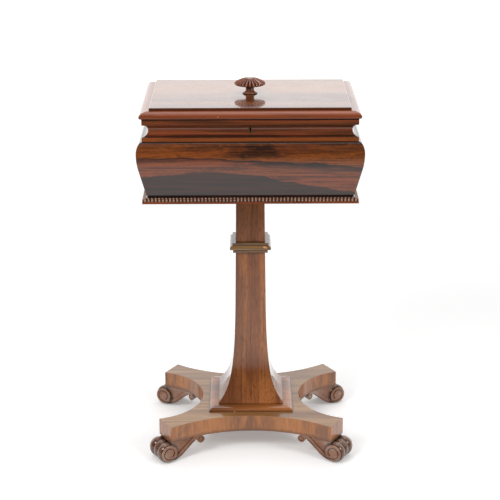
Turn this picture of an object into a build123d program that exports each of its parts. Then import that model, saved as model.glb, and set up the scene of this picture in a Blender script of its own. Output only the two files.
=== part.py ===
"""Teapoy: a tea chest with a hinged lid, on a column with a platform and four scroll feet.

Millimetres. +Z is up, the front looks along -Y, and the origin is on the floor under the column.
"""

import os

from build123d import *

# ---------------------------------------------------------------- driving dimensions

# Heights above the floor.
PLATFORM_BOTTOM = 46.5
PLATFORM_TOP = 82.5
PLINTH_TOP = 91.0
BOARD_BOTTOM = 579.4
BOARD_TOP = 592.0
WALL_TOP = 710.0
RIM = 756.8
LID_BOTTOM = 757.2
LID_RECESS = 769.0
LID_SHOULDER = 770.9
LID_TOP = 776.4

# Plan of the chest: half sizes of the raised lid panel. Mouldings are distances out from it.
HALF_WIDTH = 204.6
HALF_DEPTH = 136.2
INNER_OUT = -12.0
INNER_X = HALF_WIDTH + INNER_OUT
INNER_Y = HALF_DEPTH + INNER_OUT

# Plan of the platform: the two corners of each leg's end face, and the waists between the legs.
SIDE_CORNER_X, SIDE_CORNER_Y = 200.0, 124.8
FRONT_CORNER_X, FRONT_CORNER_Y = 172.2, 172.7
WAIST_SIDE = 107.5
WAIST_FRONT = 112.0

# Column, plinth and collar: half widths of their square sections.
COLUMN_FOOT_HALF = 70.8
COLUMN_LIP_TOP = 94.6
COLUMN_TOP_HALF = 30.3
PLINTH_HALF = 92.2
COLLAR_BOTTOM = 433.6
COLLAR_TOP = 456.0
COLLAR_INNER = 31.7
TENON_BOTTOM_RADIUS = 20.0
TENON_BOTTOM_DEPTH = 28.0
TENON_TOP_RADIUS = 16.0
TENON_TOP_END = 601.0

# Scroll feet: the drum lies across the leg, its axis a little beyond the leg's end face.
DRUM_DISC_RADIUS = 19.0
DRUM_HALF_LENGTH = 29.5
DRUM_BEYOND_END = 5.0
DRUM_AXIS_HEIGHT = 22.2
PANEL_SUNK = 1.6
VOLUTE_RADIUS = 8.5
VOLUTE_REACH = 73.5
GROOVE_WIDTH = 2.4
GROOVE_DEPTH = 1.6

# Interior.
FIT_GAP = 0.2
BOX_BOTTOM_TOP = 602.0
DECK_THICKNESS = 6.0
DECK_TOP = 744.0
PARTITION_X = 72.0
PARTITION_THICKNESS = 6.0
CANISTER_X = 132.0
CANISTER_WIDTH = 100.0
CANISTER_DEPTH = 150.0
CANISTER_WALL = 5.0
CANISTER_TOP = 744.2
CANISTER_LID_TOP = 749.4
BOWL_Y = 58.0
BOWL_RADIUS = 50.0
BOWL_RIM_RADIUS = 55.5
BOWL_WALL = 3.0
BOWL_DEPTH = 66.0

# Hinges.
HINGE_X = 118.0
HINGE_HALF_WIDTH = 25.0
HINGE_Y = HALF_DEPTH + 16.5
HINGE_Z = (RIM + LID_BOTTOM) / 2
KNUCKLE_RADIUS = 2.8
KNUCKLE_MIDDLE_HALF = 8.2
KNUCKLE_GAP = 0.3
PIN_RADIUS = 1.3
PIN_CLEARANCE = 0.05
LEAF_THICKNESS = 1.5
LEAF_FRONT_Y = HALF_DEPTH - 4.0

# Lock.
LOCK_HALF_WIDTH = 28.0
LOCK_DEPTH = 8.6
LOCK_BOTTOM = 722.8
LOCK_SHELL = 1.2
LOCK_PLATE_THICKNESS = 2.0
LOCK_PLATE_HALF_WIDTH = 36.0
LOCK_PLATE_DEPTH = 12.0
LOCK_SCREW_X = 32.0
LOCK_MIDDLE_Y = -(INNER_Y + LOCK_DEPTH / 2)
LINK_X = 14.0
LINK_HALF_THICKNESS = 1.0
LINK_HALF_DEPTH = 2.6
LINK_BOTTOM = 746.8
BOLT_TONGUE_Z = 749.0
KEYHOLE_Z = 731.5

os.makedirs("parts", exist_ok=True)


def save(piece, name):
    """Label one finished piece and write it as its own file."""
    piece.part.label = name
    export_step(piece.part, f"parts/{name}.step")


# ---------------------------------------------------------------- mitred frames

UP = Vector(0, 0, 1)
MITRE_ALLOWANCE = 40.0


class Side:
    """One side of a mitred frame, with its profile plane: X runs outward and Y runs up."""

    def __init__(self, name, outward, offset, half_length):
        self.name = name
        self.outward = Vector(*outward)
        self.along = UP.cross(self.outward)
        self.offset = offset
        self.half_length = half_length
        self.plane = Plane(
            origin=self.outward * offset,
            x_dir=self.outward,
            z_dir=self.outward.cross(UP),
        )

    def mitre(self, end):
        """The upright plane at 45 degrees through one end (1 or -1) of this side."""
        direction = self.along * end
        corner = self.outward * self.offset + direction * self.half_length
        return Plane(origin=corner, z_dir=direction - self.outward)


def frame_sides(half_x, half_y):
    """The four sides of a rectangle."""
    return [
        Side("front", (0, -1, 0), half_y, half_x),
        Side("back", (0, 1, 0), half_y, half_x),
        Side("left", (-1, 0, 0), half_x, half_y),
        Side("right", (1, 0, 0), half_x, half_y),
    ]


CHEST_SIDES = frame_sides(HALF_WIDTH, HALF_DEPTH)
COLLAR_SIDES = frame_sides(COLLAR_INNER, COLLAR_INNER)


def mitred_strip(side, profile, cutters=()):
    """Run a profile along one side, cut both mitres, and cut whatever is let into it."""
    with BuildPart() as strip:
        with BuildSketch(side.plane):
            add(profile.sketch)
        extrude(amount=side.half_length + MITRE_ALLOWANCE, both=True)
        for end in (1, -1):
            split(bisect_by=side.mitre(end), keep=Keep.BOTTOM)
        for cutter in cutters:
            add(cutter, mode=Mode.SUBTRACT)
    return strip


# ---------------------------------------------------------------- screws

SMALL_SCREW_SHANK = 1.2
SMALL_SCREW_HEAD = 2.4
SMALL_SCREW_LENGTH = 9.0
LARGE_SCREW_SHANK = 2.0
LARGE_SCREW_HEAD = 4.0
LARGE_SCREW_LENGTH = 30.0


def countersunk_screw(length, shank_radius, head_radius):
    """A flat-headed wood screw: head face at the origin, point towards -Z."""
    with BuildPart() as screw:
        with BuildSketch(Plane.XZ):
            with BuildLine():
                Polyline(
                    (0, 0),
                    (head_radius, 0),
                    (shank_radius, shank_radius - head_radius),
                    (shank_radius, shank_radius - length),
                    (0, -length),
                    close=True,
                )
            make_face()
        revolve(axis=Axis.Z)
    return screw.part


def screw_group(screw, places):
    """The same screw at every place, as one piece of separate solids."""
    with BuildPart() as group:
        with Locations(*places):
            add(screw)
    return group


DRIVEN_UP = (180, 0, 0)
HINGE_SCREW_SPREAD = 16.0
HINGE_SCREW_Y = HALF_DEPTH + 4.0
LOCK_SCREW_Y = -(INNER_Y + LOCK_PLATE_DEPTH / 2)
small_screw = countersunk_screw(SMALL_SCREW_LENGTH, SMALL_SCREW_SHANK, SMALL_SCREW_HEAD)
hinge_screw_spots = [
    (x + spread, HINGE_SCREW_Y)
    for x in (-HINGE_X, HINGE_X)
    for spread in (-HINGE_SCREW_SPREAD, HINGE_SCREW_SPREAD)
]
brass_screw_spots = hinge_screw_spots + [(x, LOCK_SCREW_Y) for x in (-LOCK_SCREW_X, LOCK_SCREW_X)]
box_screws = screw_group(small_screw, [Location((x, y, RIM)) for x, y in brass_screw_spots])
lid_screws = screw_group(
    small_screw,
    [Location((x, y, LID_BOTTOM), DRIVEN_UP) for x, y in brass_screw_spots],
)
save(box_screws, "box_screws")
save(lid_screws, "lid_screws")

# ---------------------------------------------------------------- platform plan

with BuildSketch() as platform_plan:
    with BuildLine():
        ThreePointArc(
            (-FRONT_CORNER_X, -FRONT_CORNER_Y),
            (0, -WAIST_FRONT),
            (FRONT_CORNER_X, -FRONT_CORNER_Y),
        )
        Line((FRONT_CORNER_X, -FRONT_CORNER_Y), (SIDE_CORNER_X, -SIDE_CORNER_Y))
        ThreePointArc(
            (SIDE_CORNER_X, -SIDE_CORNER_Y),
            (WAIST_SIDE, 0),
            (SIDE_CORNER_X, SIDE_CORNER_Y),
        )
        Line((SIDE_CORNER_X, SIDE_CORNER_Y), (FRONT_CORNER_X, FRONT_CORNER_Y))
        ThreePointArc(
            (FRONT_CORNER_X, FRONT_CORNER_Y),
            (0, WAIST_FRONT),
            (-FRONT_CORNER_X, FRONT_CORNER_Y),
        )
        Line((-FRONT_CORNER_X, FRONT_CORNER_Y), (-SIDE_CORNER_X, SIDE_CORNER_Y))
        ThreePointArc(
            (-SIDE_CORNER_X, SIDE_CORNER_Y),
            (-WAIST_SIDE, 0),
            (-SIDE_CORNER_X, -SIDE_CORNER_Y),
        )
        Line((-SIDE_CORNER_X, -SIDE_CORNER_Y), (-FRONT_CORNER_X, -FRONT_CORNER_Y))
    make_face()

# ---------------------------------------------------------------- scroll feet

# The front right foot is built in place and mirrored to the other corners. Its side view has X
# inward along the leg from the end face, and Y up from the floor.
END_FACE_MIDDLE = Vector(
    (SIDE_CORNER_X + FRONT_CORNER_X) / 2, -(SIDE_CORNER_Y + FRONT_CORNER_Y) / 2, 0
)
ACROSS = Vector(
    SIDE_CORNER_X - FRONT_CORNER_X, FRONT_CORNER_Y - SIDE_CORNER_Y, 0
).normalized()
INWARD = UP.cross(ACROSS)
FOOT_SIDE = Plane(origin=END_FACE_MIDDLE, x_dir=INWARD, z_dir=ACROSS)
DRUM_CENTRE = END_FACE_MIDDLE - INWARD * DRUM_BEYOND_END + UP * DRUM_AXIS_HEIGHT
FOOT_HALF_SPAN = 48.0

FOOT_SCREW_REACH = 38.0
FOOT_SCREW_SPREAD = 12.0
FOOT_SCREW_HEIGHT = 34.0
foot_screw = countersunk_screw(LARGE_SCREW_LENGTH, LARGE_SCREW_SHANK, LARGE_SCREW_HEAD)
foot_screw_spots = [
    END_FACE_MIDDLE + INWARD * FOOT_SCREW_REACH + ACROSS * spread
    for spread in (-FOOT_SCREW_SPREAD, FOOT_SCREW_SPREAD)
]
foot_screws = screw_group(
    foot_screw,
    [
        Location((spot.X * flip_x, spot.Y * flip_y, FOOT_SCREW_HEIGHT), DRIVEN_UP)
        for spot in foot_screw_spots
        for flip_x in (1, -1)
        for flip_y in (1, -1)
    ],
)

# The ribbon leaves the small volute, sweeps down and joins the drum's underside.
RIBBON_CREST = (60.5, 37.6)
RIBBON_LOWER = [(47.0, 27.0), (34.0, 15.8), (21.4, 7.4), (9.0, 3.8)]
RIBBON_HEEL = (-DRUM_BEYOND_END, DRUM_AXIS_HEIGHT - DRUM_DISC_RADIUS)
RIBBON_ROOT = (-DRUM_BEYOND_END, 9.5)
RIBBON_UPPER = [(8.0, 12.2), (15.0, 15.4), (23.0, 20.6), (33.0, 28.2), (42.0, 35.6)]
RIBBON_TIP = (56.0, PLATFORM_BOTTOM)
RIBBON_LINE = [(58.0, 38.0), (46.0, 29.2), (33.0, 18.2), (20.4, 10.0), (8.0, 6.4)]
RIBBON_LINE_WIDTH = 1.2
QUIRK_RADIUS = 21.0
QUIRK_DEPTH = 3.0
VOLUTE_CENTRE = (VOLUTE_REACH, PLATFORM_BOTTOM - VOLUTE_RADIUS)
VOLUTE_NECK = 5.5

with BuildSketch() as ribbon_side:
    with BuildLine():
        lower = Spline(RIBBON_CREST, *RIBBON_LOWER, RIBBON_HEEL)
        upper = Spline(RIBBON_ROOT, *RIBBON_UPPER, RIBBON_TIP)
        Line(lower @ 1, RIBBON_ROOT)
        Polyline(upper @ 1, (RIBBON_CREST[0], PLATFORM_BOTTOM), lower @ 0)
    make_face()
    with Locations(VOLUTE_CENTRE):
        Circle(VOLUTE_RADIUS)
    with Locations((RIBBON_CREST[0], PLATFORM_BOTTOM)):
        Rectangle(VOLUTE_REACH - RIBBON_CREST[0], VOLUTE_NECK, align=(Align.MIN, Align.MAX))

# The panel fills the space between the ribbon, the end face and the platform.
with BuildSketch() as panel_side:
    with BuildLine():
        edge = Spline(RIBBON_ROOT, *RIBBON_UPPER, RIBBON_TIP)
        Polyline(edge @ 1, (RIBBON_ROOT[0], PLATFORM_BOTTOM), edge @ 0)
    make_face()

with BuildPart() as foot_panel:
    with BuildSketch(FOOT_SIDE):
        add(panel_side.sketch)
    extrude(amount=FOOT_HALF_SPAN, both=True)
    with BuildSketch():
        offset(platform_plan.sketch, amount=-PANEL_SUNK, kind=Kind.INTERSECTION)
    extrude(amount=PLATFORM_BOTTOM, mode=Mode.INTERSECT)
    for end in (1, -1):
        with BuildSketch(FOOT_SIDE.offset(end * (DRUM_HALF_LENGTH - QUIRK_DEPTH))):
            with Locations((-DRUM_BEYOND_END, DRUM_AXIS_HEIGHT)):
                Circle(QUIRK_RADIUS)
        extrude(amount=end * FOOT_HALF_SPAN, mode=Mode.SUBTRACT)

# Shallow lines cut into the foot's two sides: one along the ribbon, one round the small volute.
VOLUTE_LINE_RADIUS = 4.6

with BuildLine() as ribbon_path:
    Spline(*RIBBON_LINE)
with BuildSketch() as side_lines:
    trace(ribbon_path.line, line_width=RIBBON_LINE_WIDTH)
    with Locations(VOLUTE_CENTRE):
        Circle(VOLUTE_LINE_RADIUS + RIBBON_LINE_WIDTH)
        Circle(VOLUTE_LINE_RADIUS, mode=Mode.SUBTRACT)

with BuildPart() as side_grooves:
    with BuildSketch(FOOT_SIDE):
        add(side_lines.sketch)
    extrude(amount=FOOT_HALF_SPAN, both=True)
    with BuildSketch():
        offset(platform_plan.sketch, amount=GROOVE_DEPTH, kind=Kind.INTERSECTION)
        offset(
            platform_plan.sketch,
            amount=-RIBBON_LINE_WIDTH,
            kind=Kind.INTERSECTION,
            mode=Mode.SUBTRACT,
        )
    extrude(amount=PLATFORM_BOTTOM, mode=Mode.INTERSECT)

# The drum is turned: a disc at each end and three swellings between them.
DRUM_MIDDLE_RADIUS = 21.8
DRUM_MIDDLE_END = 8.2
DRUM_WAIST_RADIUS = 19.8
DRUM_SWELL_START = 9.6
DRUM_SWELL_MIDDLE = 17.6
DRUM_SWELL_END = 25.6
DRUM_SWELL_RADIUS = 22.6
DRUM_DISC_START = 26.8
DRUM_DISC_NECK = 17.6
DRUM_DISC_ROUND = 0.9

with BuildSketch() as drum_profile:
    with BuildLine():
        ThreePointArc(
            (-DRUM_MIDDLE_END, DRUM_WAIST_RADIUS),
            (0, DRUM_MIDDLE_RADIUS),
            (DRUM_MIDDLE_END, DRUM_WAIST_RADIUS),
        )
        for end in (1, -1):
            Line(
                (end * DRUM_MIDDLE_END, DRUM_WAIST_RADIUS),
                (end * DRUM_SWELL_START, DRUM_WAIST_RADIUS),
            )
            ThreePointArc(
                (end * DRUM_SWELL_START, DRUM_WAIST_RADIUS),
                (end * DRUM_SWELL_MIDDLE, DRUM_SWELL_RADIUS),
                (end * DRUM_SWELL_END, DRUM_WAIST_RADIUS),
            )
            Polyline(
                (end * DRUM_SWELL_END, DRUM_WAIST_RADIUS),
                (end * DRUM_SWELL_END, DRUM_DISC_NECK),
                (end * DRUM_DISC_START, DRUM_DISC_NECK),
                (end * DRUM_DISC_START, DRUM_DISC_RADIUS),
                (end * DRUM_HALF_LENGTH, DRUM_DISC_RADIUS),
                (end * DRUM_HALF_LENGTH, 0),
            )
        Line((-DRUM_HALF_LENGTH, 0), (DRUM_HALF_LENGTH, 0))
    make_face()
    rims = drum_profile.vertices().filter_by(
        lambda corner: corner.Y == DRUM_DISC_RADIUS and abs(corner.X) == DRUM_HALF_LENGTH
    )
    fillet(rims, radius=DRUM_DISC_ROUND)

# A spiral carved in each end of the drum carries the ribbon's inner edge on to the eye.
DRUM_SPIRAL_X = -DRUM_BEYOND_END
SPIRAL_RADIUS = 12.7
SPIRAL_START = (9.4, 9.9)
SPIRAL_LOW = (2.2, 8.9)
SPIRAL_TAIL_SIDE = (DRUM_SPIRAL_X + 11.0, DRUM_AXIS_HEIGHT + 1.6)
SPIRAL_TAIL = (DRUM_SPIRAL_X + 6.4, DRUM_AXIS_HEIGHT - 7.6)

with BuildLine() as spiral:
    spiral_foot = (DRUM_SPIRAL_X, DRUM_AXIS_HEIGHT - SPIRAL_RADIUS)
    spiral_side = (DRUM_SPIRAL_X - SPIRAL_RADIUS, DRUM_AXIS_HEIGHT)
    spiral_head = (DRUM_SPIRAL_X, DRUM_AXIS_HEIGHT + SPIRAL_RADIUS)
    ThreePointArc(SPIRAL_START, SPIRAL_LOW, spiral_foot)
    ThreePointArc(spiral_foot, spiral_side, spiral_head)
    ThreePointArc(spiral_head, SPIRAL_TAIL_SIDE, SPIRAL_TAIL)
with BuildSketch() as spiral_groove:
    trace(spiral.line, line_width=GROOVE_WIDTH)

with BuildPart() as foot:
    with BuildSketch(FOOT_SIDE):
        add(ribbon_side.sketch)
    extrude(amount=FOOT_HALF_SPAN, both=True)
    with BuildSketch():
        add(platform_plan.sketch)
    extrude(amount=PLATFORM_BOTTOM, mode=Mode.INTERSECT)
    add(side_grooves.part, mode=Mode.SUBTRACT)
    add(foot_panel.part)
    with BuildSketch(Plane(origin=DRUM_CENTRE, x_dir=ACROSS, z_dir=INWARD)):
        add(drum_profile.sketch)
    revolve(axis=Axis(DRUM_CENTRE, ACROSS))
    for end in (1, -1):
        with BuildSketch(FOOT_SIDE.offset(end * DRUM_HALF_LENGTH)):
            add(spiral_groove.sketch)
        extrude(amount=-end * GROOVE_DEPTH, mode=Mode.SUBTRACT)
    split(bisect_by=Plane.XY, keep=Keep.TOP)
    add(foot_screws.part, mode=Mode.SUBTRACT)
    with Locations(*[(spot.X, spot.Y, 0) for spot in foot_screw_spots]):
        Cylinder(
            LARGE_SCREW_HEAD,
            FOOT_SCREW_HEIGHT,
            align=(Align.CENTER, Align.CENTER, Align.MIN),
            mode=Mode.SUBTRACT,
        )

for end_name, flip_end in (("front", False), ("back", True)):
    for side_name, flip_side in (("left", True), ("right", False)):
        with BuildPart() as placed_foot:
            add(foot.part)
            if flip_end:
                mirror(about=Plane.XZ, mode=Mode.REPLACE)
            if flip_side:
                mirror(about=Plane.YZ, mode=Mode.REPLACE)
        save(placed_foot, f"foot_{end_name}_{side_name}")

# ---------------------------------------------------------------- platform, plinth, column

with BuildPart() as platform:
    with BuildSketch(Plane.XY.offset(PLATFORM_BOTTOM)):
        add(platform_plan.sketch)
    extrude(amount=PLATFORM_TOP - PLATFORM_BOTTOM)
    with BuildSketch(Plane.XY.offset(PLATFORM_TOP)):
        Circle(TENON_BOTTOM_RADIUS)
    extrude(amount=-TENON_BOTTOM_DEPTH, mode=Mode.SUBTRACT)
    add(foot_screws.part, mode=Mode.SUBTRACT)
save(platform, "platform")

PLINTH_FILLET_TOP = 85.0
PLINTH_OVOLO_OUT = 91.0
PLINTH_OVOLO_IN = 74.5

with BuildSketch() as plinth_elevation:
    with BuildLine():
        Polyline(
            (0, PLATFORM_TOP),
            (PLINTH_HALF, PLATFORM_TOP),
            (PLINTH_HALF, PLINTH_FILLET_TOP),
            (PLINTH_OVOLO_OUT, PLINTH_FILLET_TOP),
        )
        EllipticalCenterArc(
            (PLINTH_OVOLO_IN, PLINTH_FILLET_TOP),
            x_radius=PLINTH_OVOLO_OUT - PLINTH_OVOLO_IN,
            y_radius=PLINTH_TOP - PLINTH_FILLET_TOP,
            start_angle=0,
            arc_size=90,
        )
        Polyline((PLINTH_OVOLO_IN, PLINTH_TOP), (0, PLINTH_TOP), (0, PLATFORM_TOP))
    make_face()
    mirror(about=Plane.YZ)

with BuildPart() as column_plinth:
    with BuildSketch(Plane.XZ):
        add(plinth_elevation.sketch)
    extrude(amount=PLINTH_HALF, both=True)
    with BuildSketch(Plane.YZ):
        add(plinth_elevation.sketch)
    extrude(amount=PLINTH_HALF, both=True, mode=Mode.INTERSECT)
    with BuildSketch(Plane.XY.offset(PLATFORM_TOP)):
        Circle(TENON_BOTTOM_RADIUS)
    extrude(amount=PLINTH_TOP - PLATFORM_TOP, mode=Mode.SUBTRACT)
save(column_plinth, "column_plinth")

COLUMN_FLARE = [(61.6, 106.6), (54.4, 118.8), (48.2, 135.0), (42.4, 161.3), (35.9, 225.6)]
COLUMN_SHAFT = [(32.8, 346.8), (31.1, 483.7)]
COLUMN_HEAD = (COLUMN_TOP_HALF, BOARD_BOTTOM)

with BuildSketch() as column_elevation:
    with BuildLine():
        Polyline((0, PLINTH_TOP), (COLUMN_FOOT_HALF, PLINTH_TOP), (COLUMN_FOOT_HALF, COLUMN_LIP_TOP))
        Spline(
            (COLUMN_FOOT_HALF, COLUMN_LIP_TOP),
            *COLUMN_FLARE,
            *COLUMN_SHAFT,
            COLUMN_HEAD,
        )
        Polyline(COLUMN_HEAD, (0, BOARD_BOTTOM), (0, PLINTH_TOP))
    make_face()
    mirror(about=Plane.YZ)

with BuildPart() as column:
    with BuildSketch(Plane.XZ):
        add(column_elevation.sketch)
    extrude(amount=COLUMN_FOOT_HALF, both=True)
    with BuildSketch(Plane.YZ):
        add(column_elevation.sketch)
    extrude(amount=COLUMN_FOOT_HALF, both=True, mode=Mode.INTERSECT)
    with BuildSketch(Plane.XY.offset(PLINTH_TOP)):
        Circle(TENON_BOTTOM_RADIUS)
    extrude(amount=PLATFORM_TOP - TENON_BOTTOM_DEPTH - PLINTH_TOP)
    with BuildSketch(Plane.XY.offset(BOARD_BOTTOM)):
        Circle(TENON_TOP_RADIUS)
    extrude(amount=TENON_TOP_END - BOARD_BOTTOM)
save(column, "column")

COLLAR_LOWER_OUT = 5.7
COLLAR_UPPER_OUT = 6.9
COLLAR_NOSE_OUT = 12.6
COLLAR_NOSE_HEIGHT = 444.2
COLLAR_TORUS_FOOT_OUT = 11.4
COLLAR_TORUS_BOTTOM = 441.4
COLLAR_TORUS_TOP = 450.4

with BuildSketch() as collar_profile:
    with BuildLine():
        Polyline(
            (0, COLLAR_BOTTOM),
            (COLLAR_LOWER_OUT, COLLAR_BOTTOM),
            (COLLAR_LOWER_OUT, COLLAR_TORUS_BOTTOM),
            (COLLAR_TORUS_FOOT_OUT, COLLAR_TORUS_BOTTOM),
        )
        ThreePointArc(
            (COLLAR_TORUS_FOOT_OUT, COLLAR_TORUS_BOTTOM),
            (COLLAR_NOSE_OUT, COLLAR_NOSE_HEIGHT),
            (COLLAR_UPPER_OUT, COLLAR_TORUS_TOP),
        )
        Polyline(
            (COLLAR_UPPER_OUT, COLLAR_TORUS_TOP),
            (COLLAR_UPPER_OUT, COLLAR_TOP),
            (0, COLLAR_TOP),
            (0, COLLAR_BOTTOM),
        )
    make_face()

for side in COLLAR_SIDES:
    save(mitred_strip(side, collar_profile), f"collar_{side.name}")

# ---------------------------------------------------------------- board and beads

BOARD_OUT = 6.0
BEAD_OUT = 17.4
BEAD_FILLET_TOP = 583.8
BEAD_STEP_OUT = 16.4
BEAD_HOLLOW = (14.8, 587.8)
BEAD_BACK_OUT = 11.0
BEAD_TOP = BOARD_TOP - 1.2
BOARD_SCREW_X = 150.0
BOARD_SCREW_Y = 90.0
BOARD_SCREW_LENGTH = 18.0
board_screw = countersunk_screw(BOARD_SCREW_LENGTH, LARGE_SCREW_SHANK, LARGE_SCREW_HEAD)
board_screws = screw_group(
    board_screw,
    [
        Location((BOARD_SCREW_X * across, BOARD_SCREW_Y * along, BOARD_BOTTOM), DRIVEN_UP)
        for across in (1, 0, -1)
        for along in (1, -1)
    ],
)

with BuildPart() as stand_screws:
    add(foot_screws.part)
    add(board_screws.part)
save(stand_screws, "stand_screws")

with BuildPart() as base_board:
    with BuildSketch(Plane.XY.offset(BOARD_BOTTOM)):
        Rectangle(2 * (HALF_WIDTH + BOARD_OUT), 2 * (HALF_DEPTH + BOARD_OUT))
        Circle(TENON_TOP_RADIUS, mode=Mode.SUBTRACT)
    extrude(amount=BOARD_TOP - BOARD_BOTTOM)
    add(board_screws.part, mode=Mode.SUBTRACT)
save(base_board, "base_board")

with BuildSketch() as bead_profile:
    with BuildLine():
        Polyline(
            (BOARD_OUT, BOARD_BOTTOM),
            (BEAD_OUT, BOARD_BOTTOM),
            (BEAD_OUT, BEAD_FILLET_TOP),
            (BEAD_STEP_OUT, BEAD_FILLET_TOP),
        )
        ThreePointArc((BEAD_STEP_OUT, BEAD_FILLET_TOP), BEAD_HOLLOW, (BEAD_BACK_OUT, BEAD_TOP))
        Polyline(
            (BEAD_BACK_OUT, BEAD_TOP),
            (BOARD_OUT, BEAD_TOP),
            (BOARD_OUT, BOARD_BOTTOM),
        )
    make_face()

for side in CHEST_SIDES:
    save(mitred_strip(side, bead_profile), f"bead_{side.name}")

with BuildPart() as box_bottom:
    with BuildSketch(Plane.XY.offset(BOARD_TOP)):
        Rectangle(2 * (INNER_X - FIT_GAP), 2 * (INNER_Y - FIT_GAP))
        Circle(TENON_TOP_RADIUS, mode=Mode.SUBTRACT)
    extrude(amount=BOX_BOTTOM_TOP - BOARD_TOP)
    add(board_screws.part, mode=Mode.SUBTRACT)
save(box_bottom, "box_bottom")

# ---------------------------------------------------------------- chest walls

WALL_QUIRK_OUT = 6.6
WALL_QUIRK_TOP = 595.4
WALL_FOOT_OUT = 8.6
WALL_BELLY = (22.65, 651.0)
WALL_WIDEST = (27.0, 686.0)
WALL_SHOULDER_OUT = 15.0

with BuildSketch() as wall_profile:
    with BuildLine():
        Polyline(
            (INNER_OUT, BOARD_TOP),
            (WALL_QUIRK_OUT, BOARD_TOP),
            (WALL_QUIRK_OUT, WALL_QUIRK_TOP),
            (WALL_FOOT_OUT, WALL_QUIRK_TOP),
        )
        rise = Line((WALL_FOOT_OUT, WALL_QUIRK_TOP), WALL_BELLY)
        TangentArc(WALL_BELLY, WALL_WIDEST, tangent=rise % 1)
        EllipticalCenterArc(
            (WALL_SHOULDER_OUT, WALL_WIDEST[1]),
            x_radius=WALL_WIDEST[0] - WALL_SHOULDER_OUT,
            y_radius=WALL_TOP - WALL_WIDEST[1],
            start_angle=0,
            arc_size=90,
        )
        Polyline((WALL_SHOULDER_OUT, WALL_TOP), (INNER_OUT, WALL_TOP), (INNER_OUT, BOARD_TOP))
    make_face()

for side in CHEST_SIDES:
    save(mitred_strip(side, wall_profile), f"wall_{side.name}")

# ---------------------------------------------------------------- hinges

KNUCKLE_CLEARANCE = 0.3
LEAF_NOTCH_Y = HINGE_Y - KNUCKLE_RADIUS - KNUCKLE_CLEARANCE
PIVOT = Plane(origin=(0, HINGE_Y, HINGE_Z), x_dir=(0, 1, 0), z_dir=(1, 0, 0))


def hinge_leaf(middle_x, plate_bottom, knuckles, screws):
    """A leaf plate with knuckles over the given stretches of X, bored for the pin."""
    with BuildPart() as leaf:
        for start, stop, reach in knuckles:
            with BuildSketch(Plane.XY.offset(plate_bottom)):
                with Locations((middle_x + start, LEAF_FRONT_Y)):
                    Rectangle(stop - start, reach - LEAF_FRONT_Y, align=Align.MIN)
            extrude(amount=LEAF_THICKNESS)
            if reach == HINGE_Y:
                with BuildSketch(PIVOT.offset(middle_x + start)):
                    Circle(KNUCKLE_RADIUS)
                extrude(amount=stop - start)
        with BuildSketch(PIVOT.offset(middle_x - HINGE_HALF_WIDTH)):
            Circle(PIN_RADIUS + PIN_CLEARANCE)
        extrude(amount=2 * HINGE_HALF_WIDTH, mode=Mode.SUBTRACT)
        add(screws.part, mode=Mode.SUBTRACT)
    return leaf


outer_knuckles = [
    (-HINGE_HALF_WIDTH, -KNUCKLE_MIDDLE_HALF - KNUCKLE_GAP, HINGE_Y),
    (-KNUCKLE_MIDDLE_HALF - KNUCKLE_GAP, KNUCKLE_MIDDLE_HALF + KNUCKLE_GAP, LEAF_NOTCH_Y),
    (KNUCKLE_MIDDLE_HALF + KNUCKLE_GAP, HINGE_HALF_WIDTH, HINGE_Y),
]
middle_knuckle = [
    (-HINGE_HALF_WIDTH, -KNUCKLE_MIDDLE_HALF, LEAF_NOTCH_Y),
    (-KNUCKLE_MIDDLE_HALF, KNUCKLE_MIDDLE_HALF, HINGE_Y),
    (KNUCKLE_MIDDLE_HALF, HINGE_HALF_WIDTH, LEAF_NOTCH_Y),
]
for name, middle_x in (("left", -HINGE_X), ("right", HINGE_X)):
    body_leaf = hinge_leaf(middle_x, RIM - LEAF_THICKNESS, outer_knuckles, box_screws)
    save(body_leaf, f"hinge_leaf_body_{name}")
    save(hinge_leaf(middle_x, LID_BOTTOM, middle_knuckle, lid_screws), f"hinge_leaf_lid_{name}")
    with BuildPart() as hinge_pin:
        with BuildSketch(PIVOT.offset(middle_x - HINGE_HALF_WIDTH)):
            Circle(PIN_RADIUS)
        extrude(amount=2 * HINGE_HALF_WIDTH)
    save(hinge_pin, f"hinge_pin_{name}")

# The wood cut away for both leaves and for the turning knuckles.
with BuildPart() as hinge_mortises:
    for middle_x in (-HINGE_X, HINGE_X):
        with BuildSketch(Plane.XY.offset(RIM - LEAF_THICKNESS)):
            with Locations((middle_x, LEAF_FRONT_Y)):
                Rectangle(
                    2 * HINGE_HALF_WIDTH,
                    HINGE_Y - LEAF_FRONT_Y,
                    align=(Align.CENTER, Align.MIN),
                )
        extrude(amount=LID_BOTTOM - RIM + 2 * LEAF_THICKNESS)
        with BuildSketch(PIVOT.offset(middle_x - HINGE_HALF_WIDTH - KNUCKLE_GAP)):
            Circle(KNUCKLE_RADIUS + KNUCKLE_CLEARANCE)
        extrude(amount=2 * (HINGE_HALF_WIDTH + KNUCKLE_GAP))

# ---------------------------------------------------------------- lock

LOCK_TOP = RIM - LOCK_PLATE_THICKNESS
SLOT_GAP = 0.7
BOLT_HALF_THICKNESS = 1.2
BOLT_BAR_BOTTOM = 736.0
BOLT_BAR_TOP = 742.0
BOLT_BAR_ENDS = (-24.0, 11.5)
BOLT_POST_WIDTH = 3.0
BOLT_TONGUE_LENGTH = 8.0
BOLT_TONGUE_HALF = 1.3
BOLT_TONGUE_GAP = 0.8
BOLT_TONGUE_TIP = LINK_X - LINK_HALF_THICKNESS - BOLT_TONGUE_GAP
LINK_EYE_HALF = 1.7
LOCK_Y_FRONT = -(INNER_Y + LOCK_DEPTH)
KEYHOLE_RADIUS = 2.1
KEYHOLE_RISE = 3.4
KEYHOLE_SLOT_HALF = 1.2
KEYHOLE_DROP = 5.4
ESCUTCHEON_RIM = 1.5
FRIEZE_FILLET_OUT = 14.8
SCOTIA_RADIUS = 12.5
ESCUTCHEON_PROUD = 0.5


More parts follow.
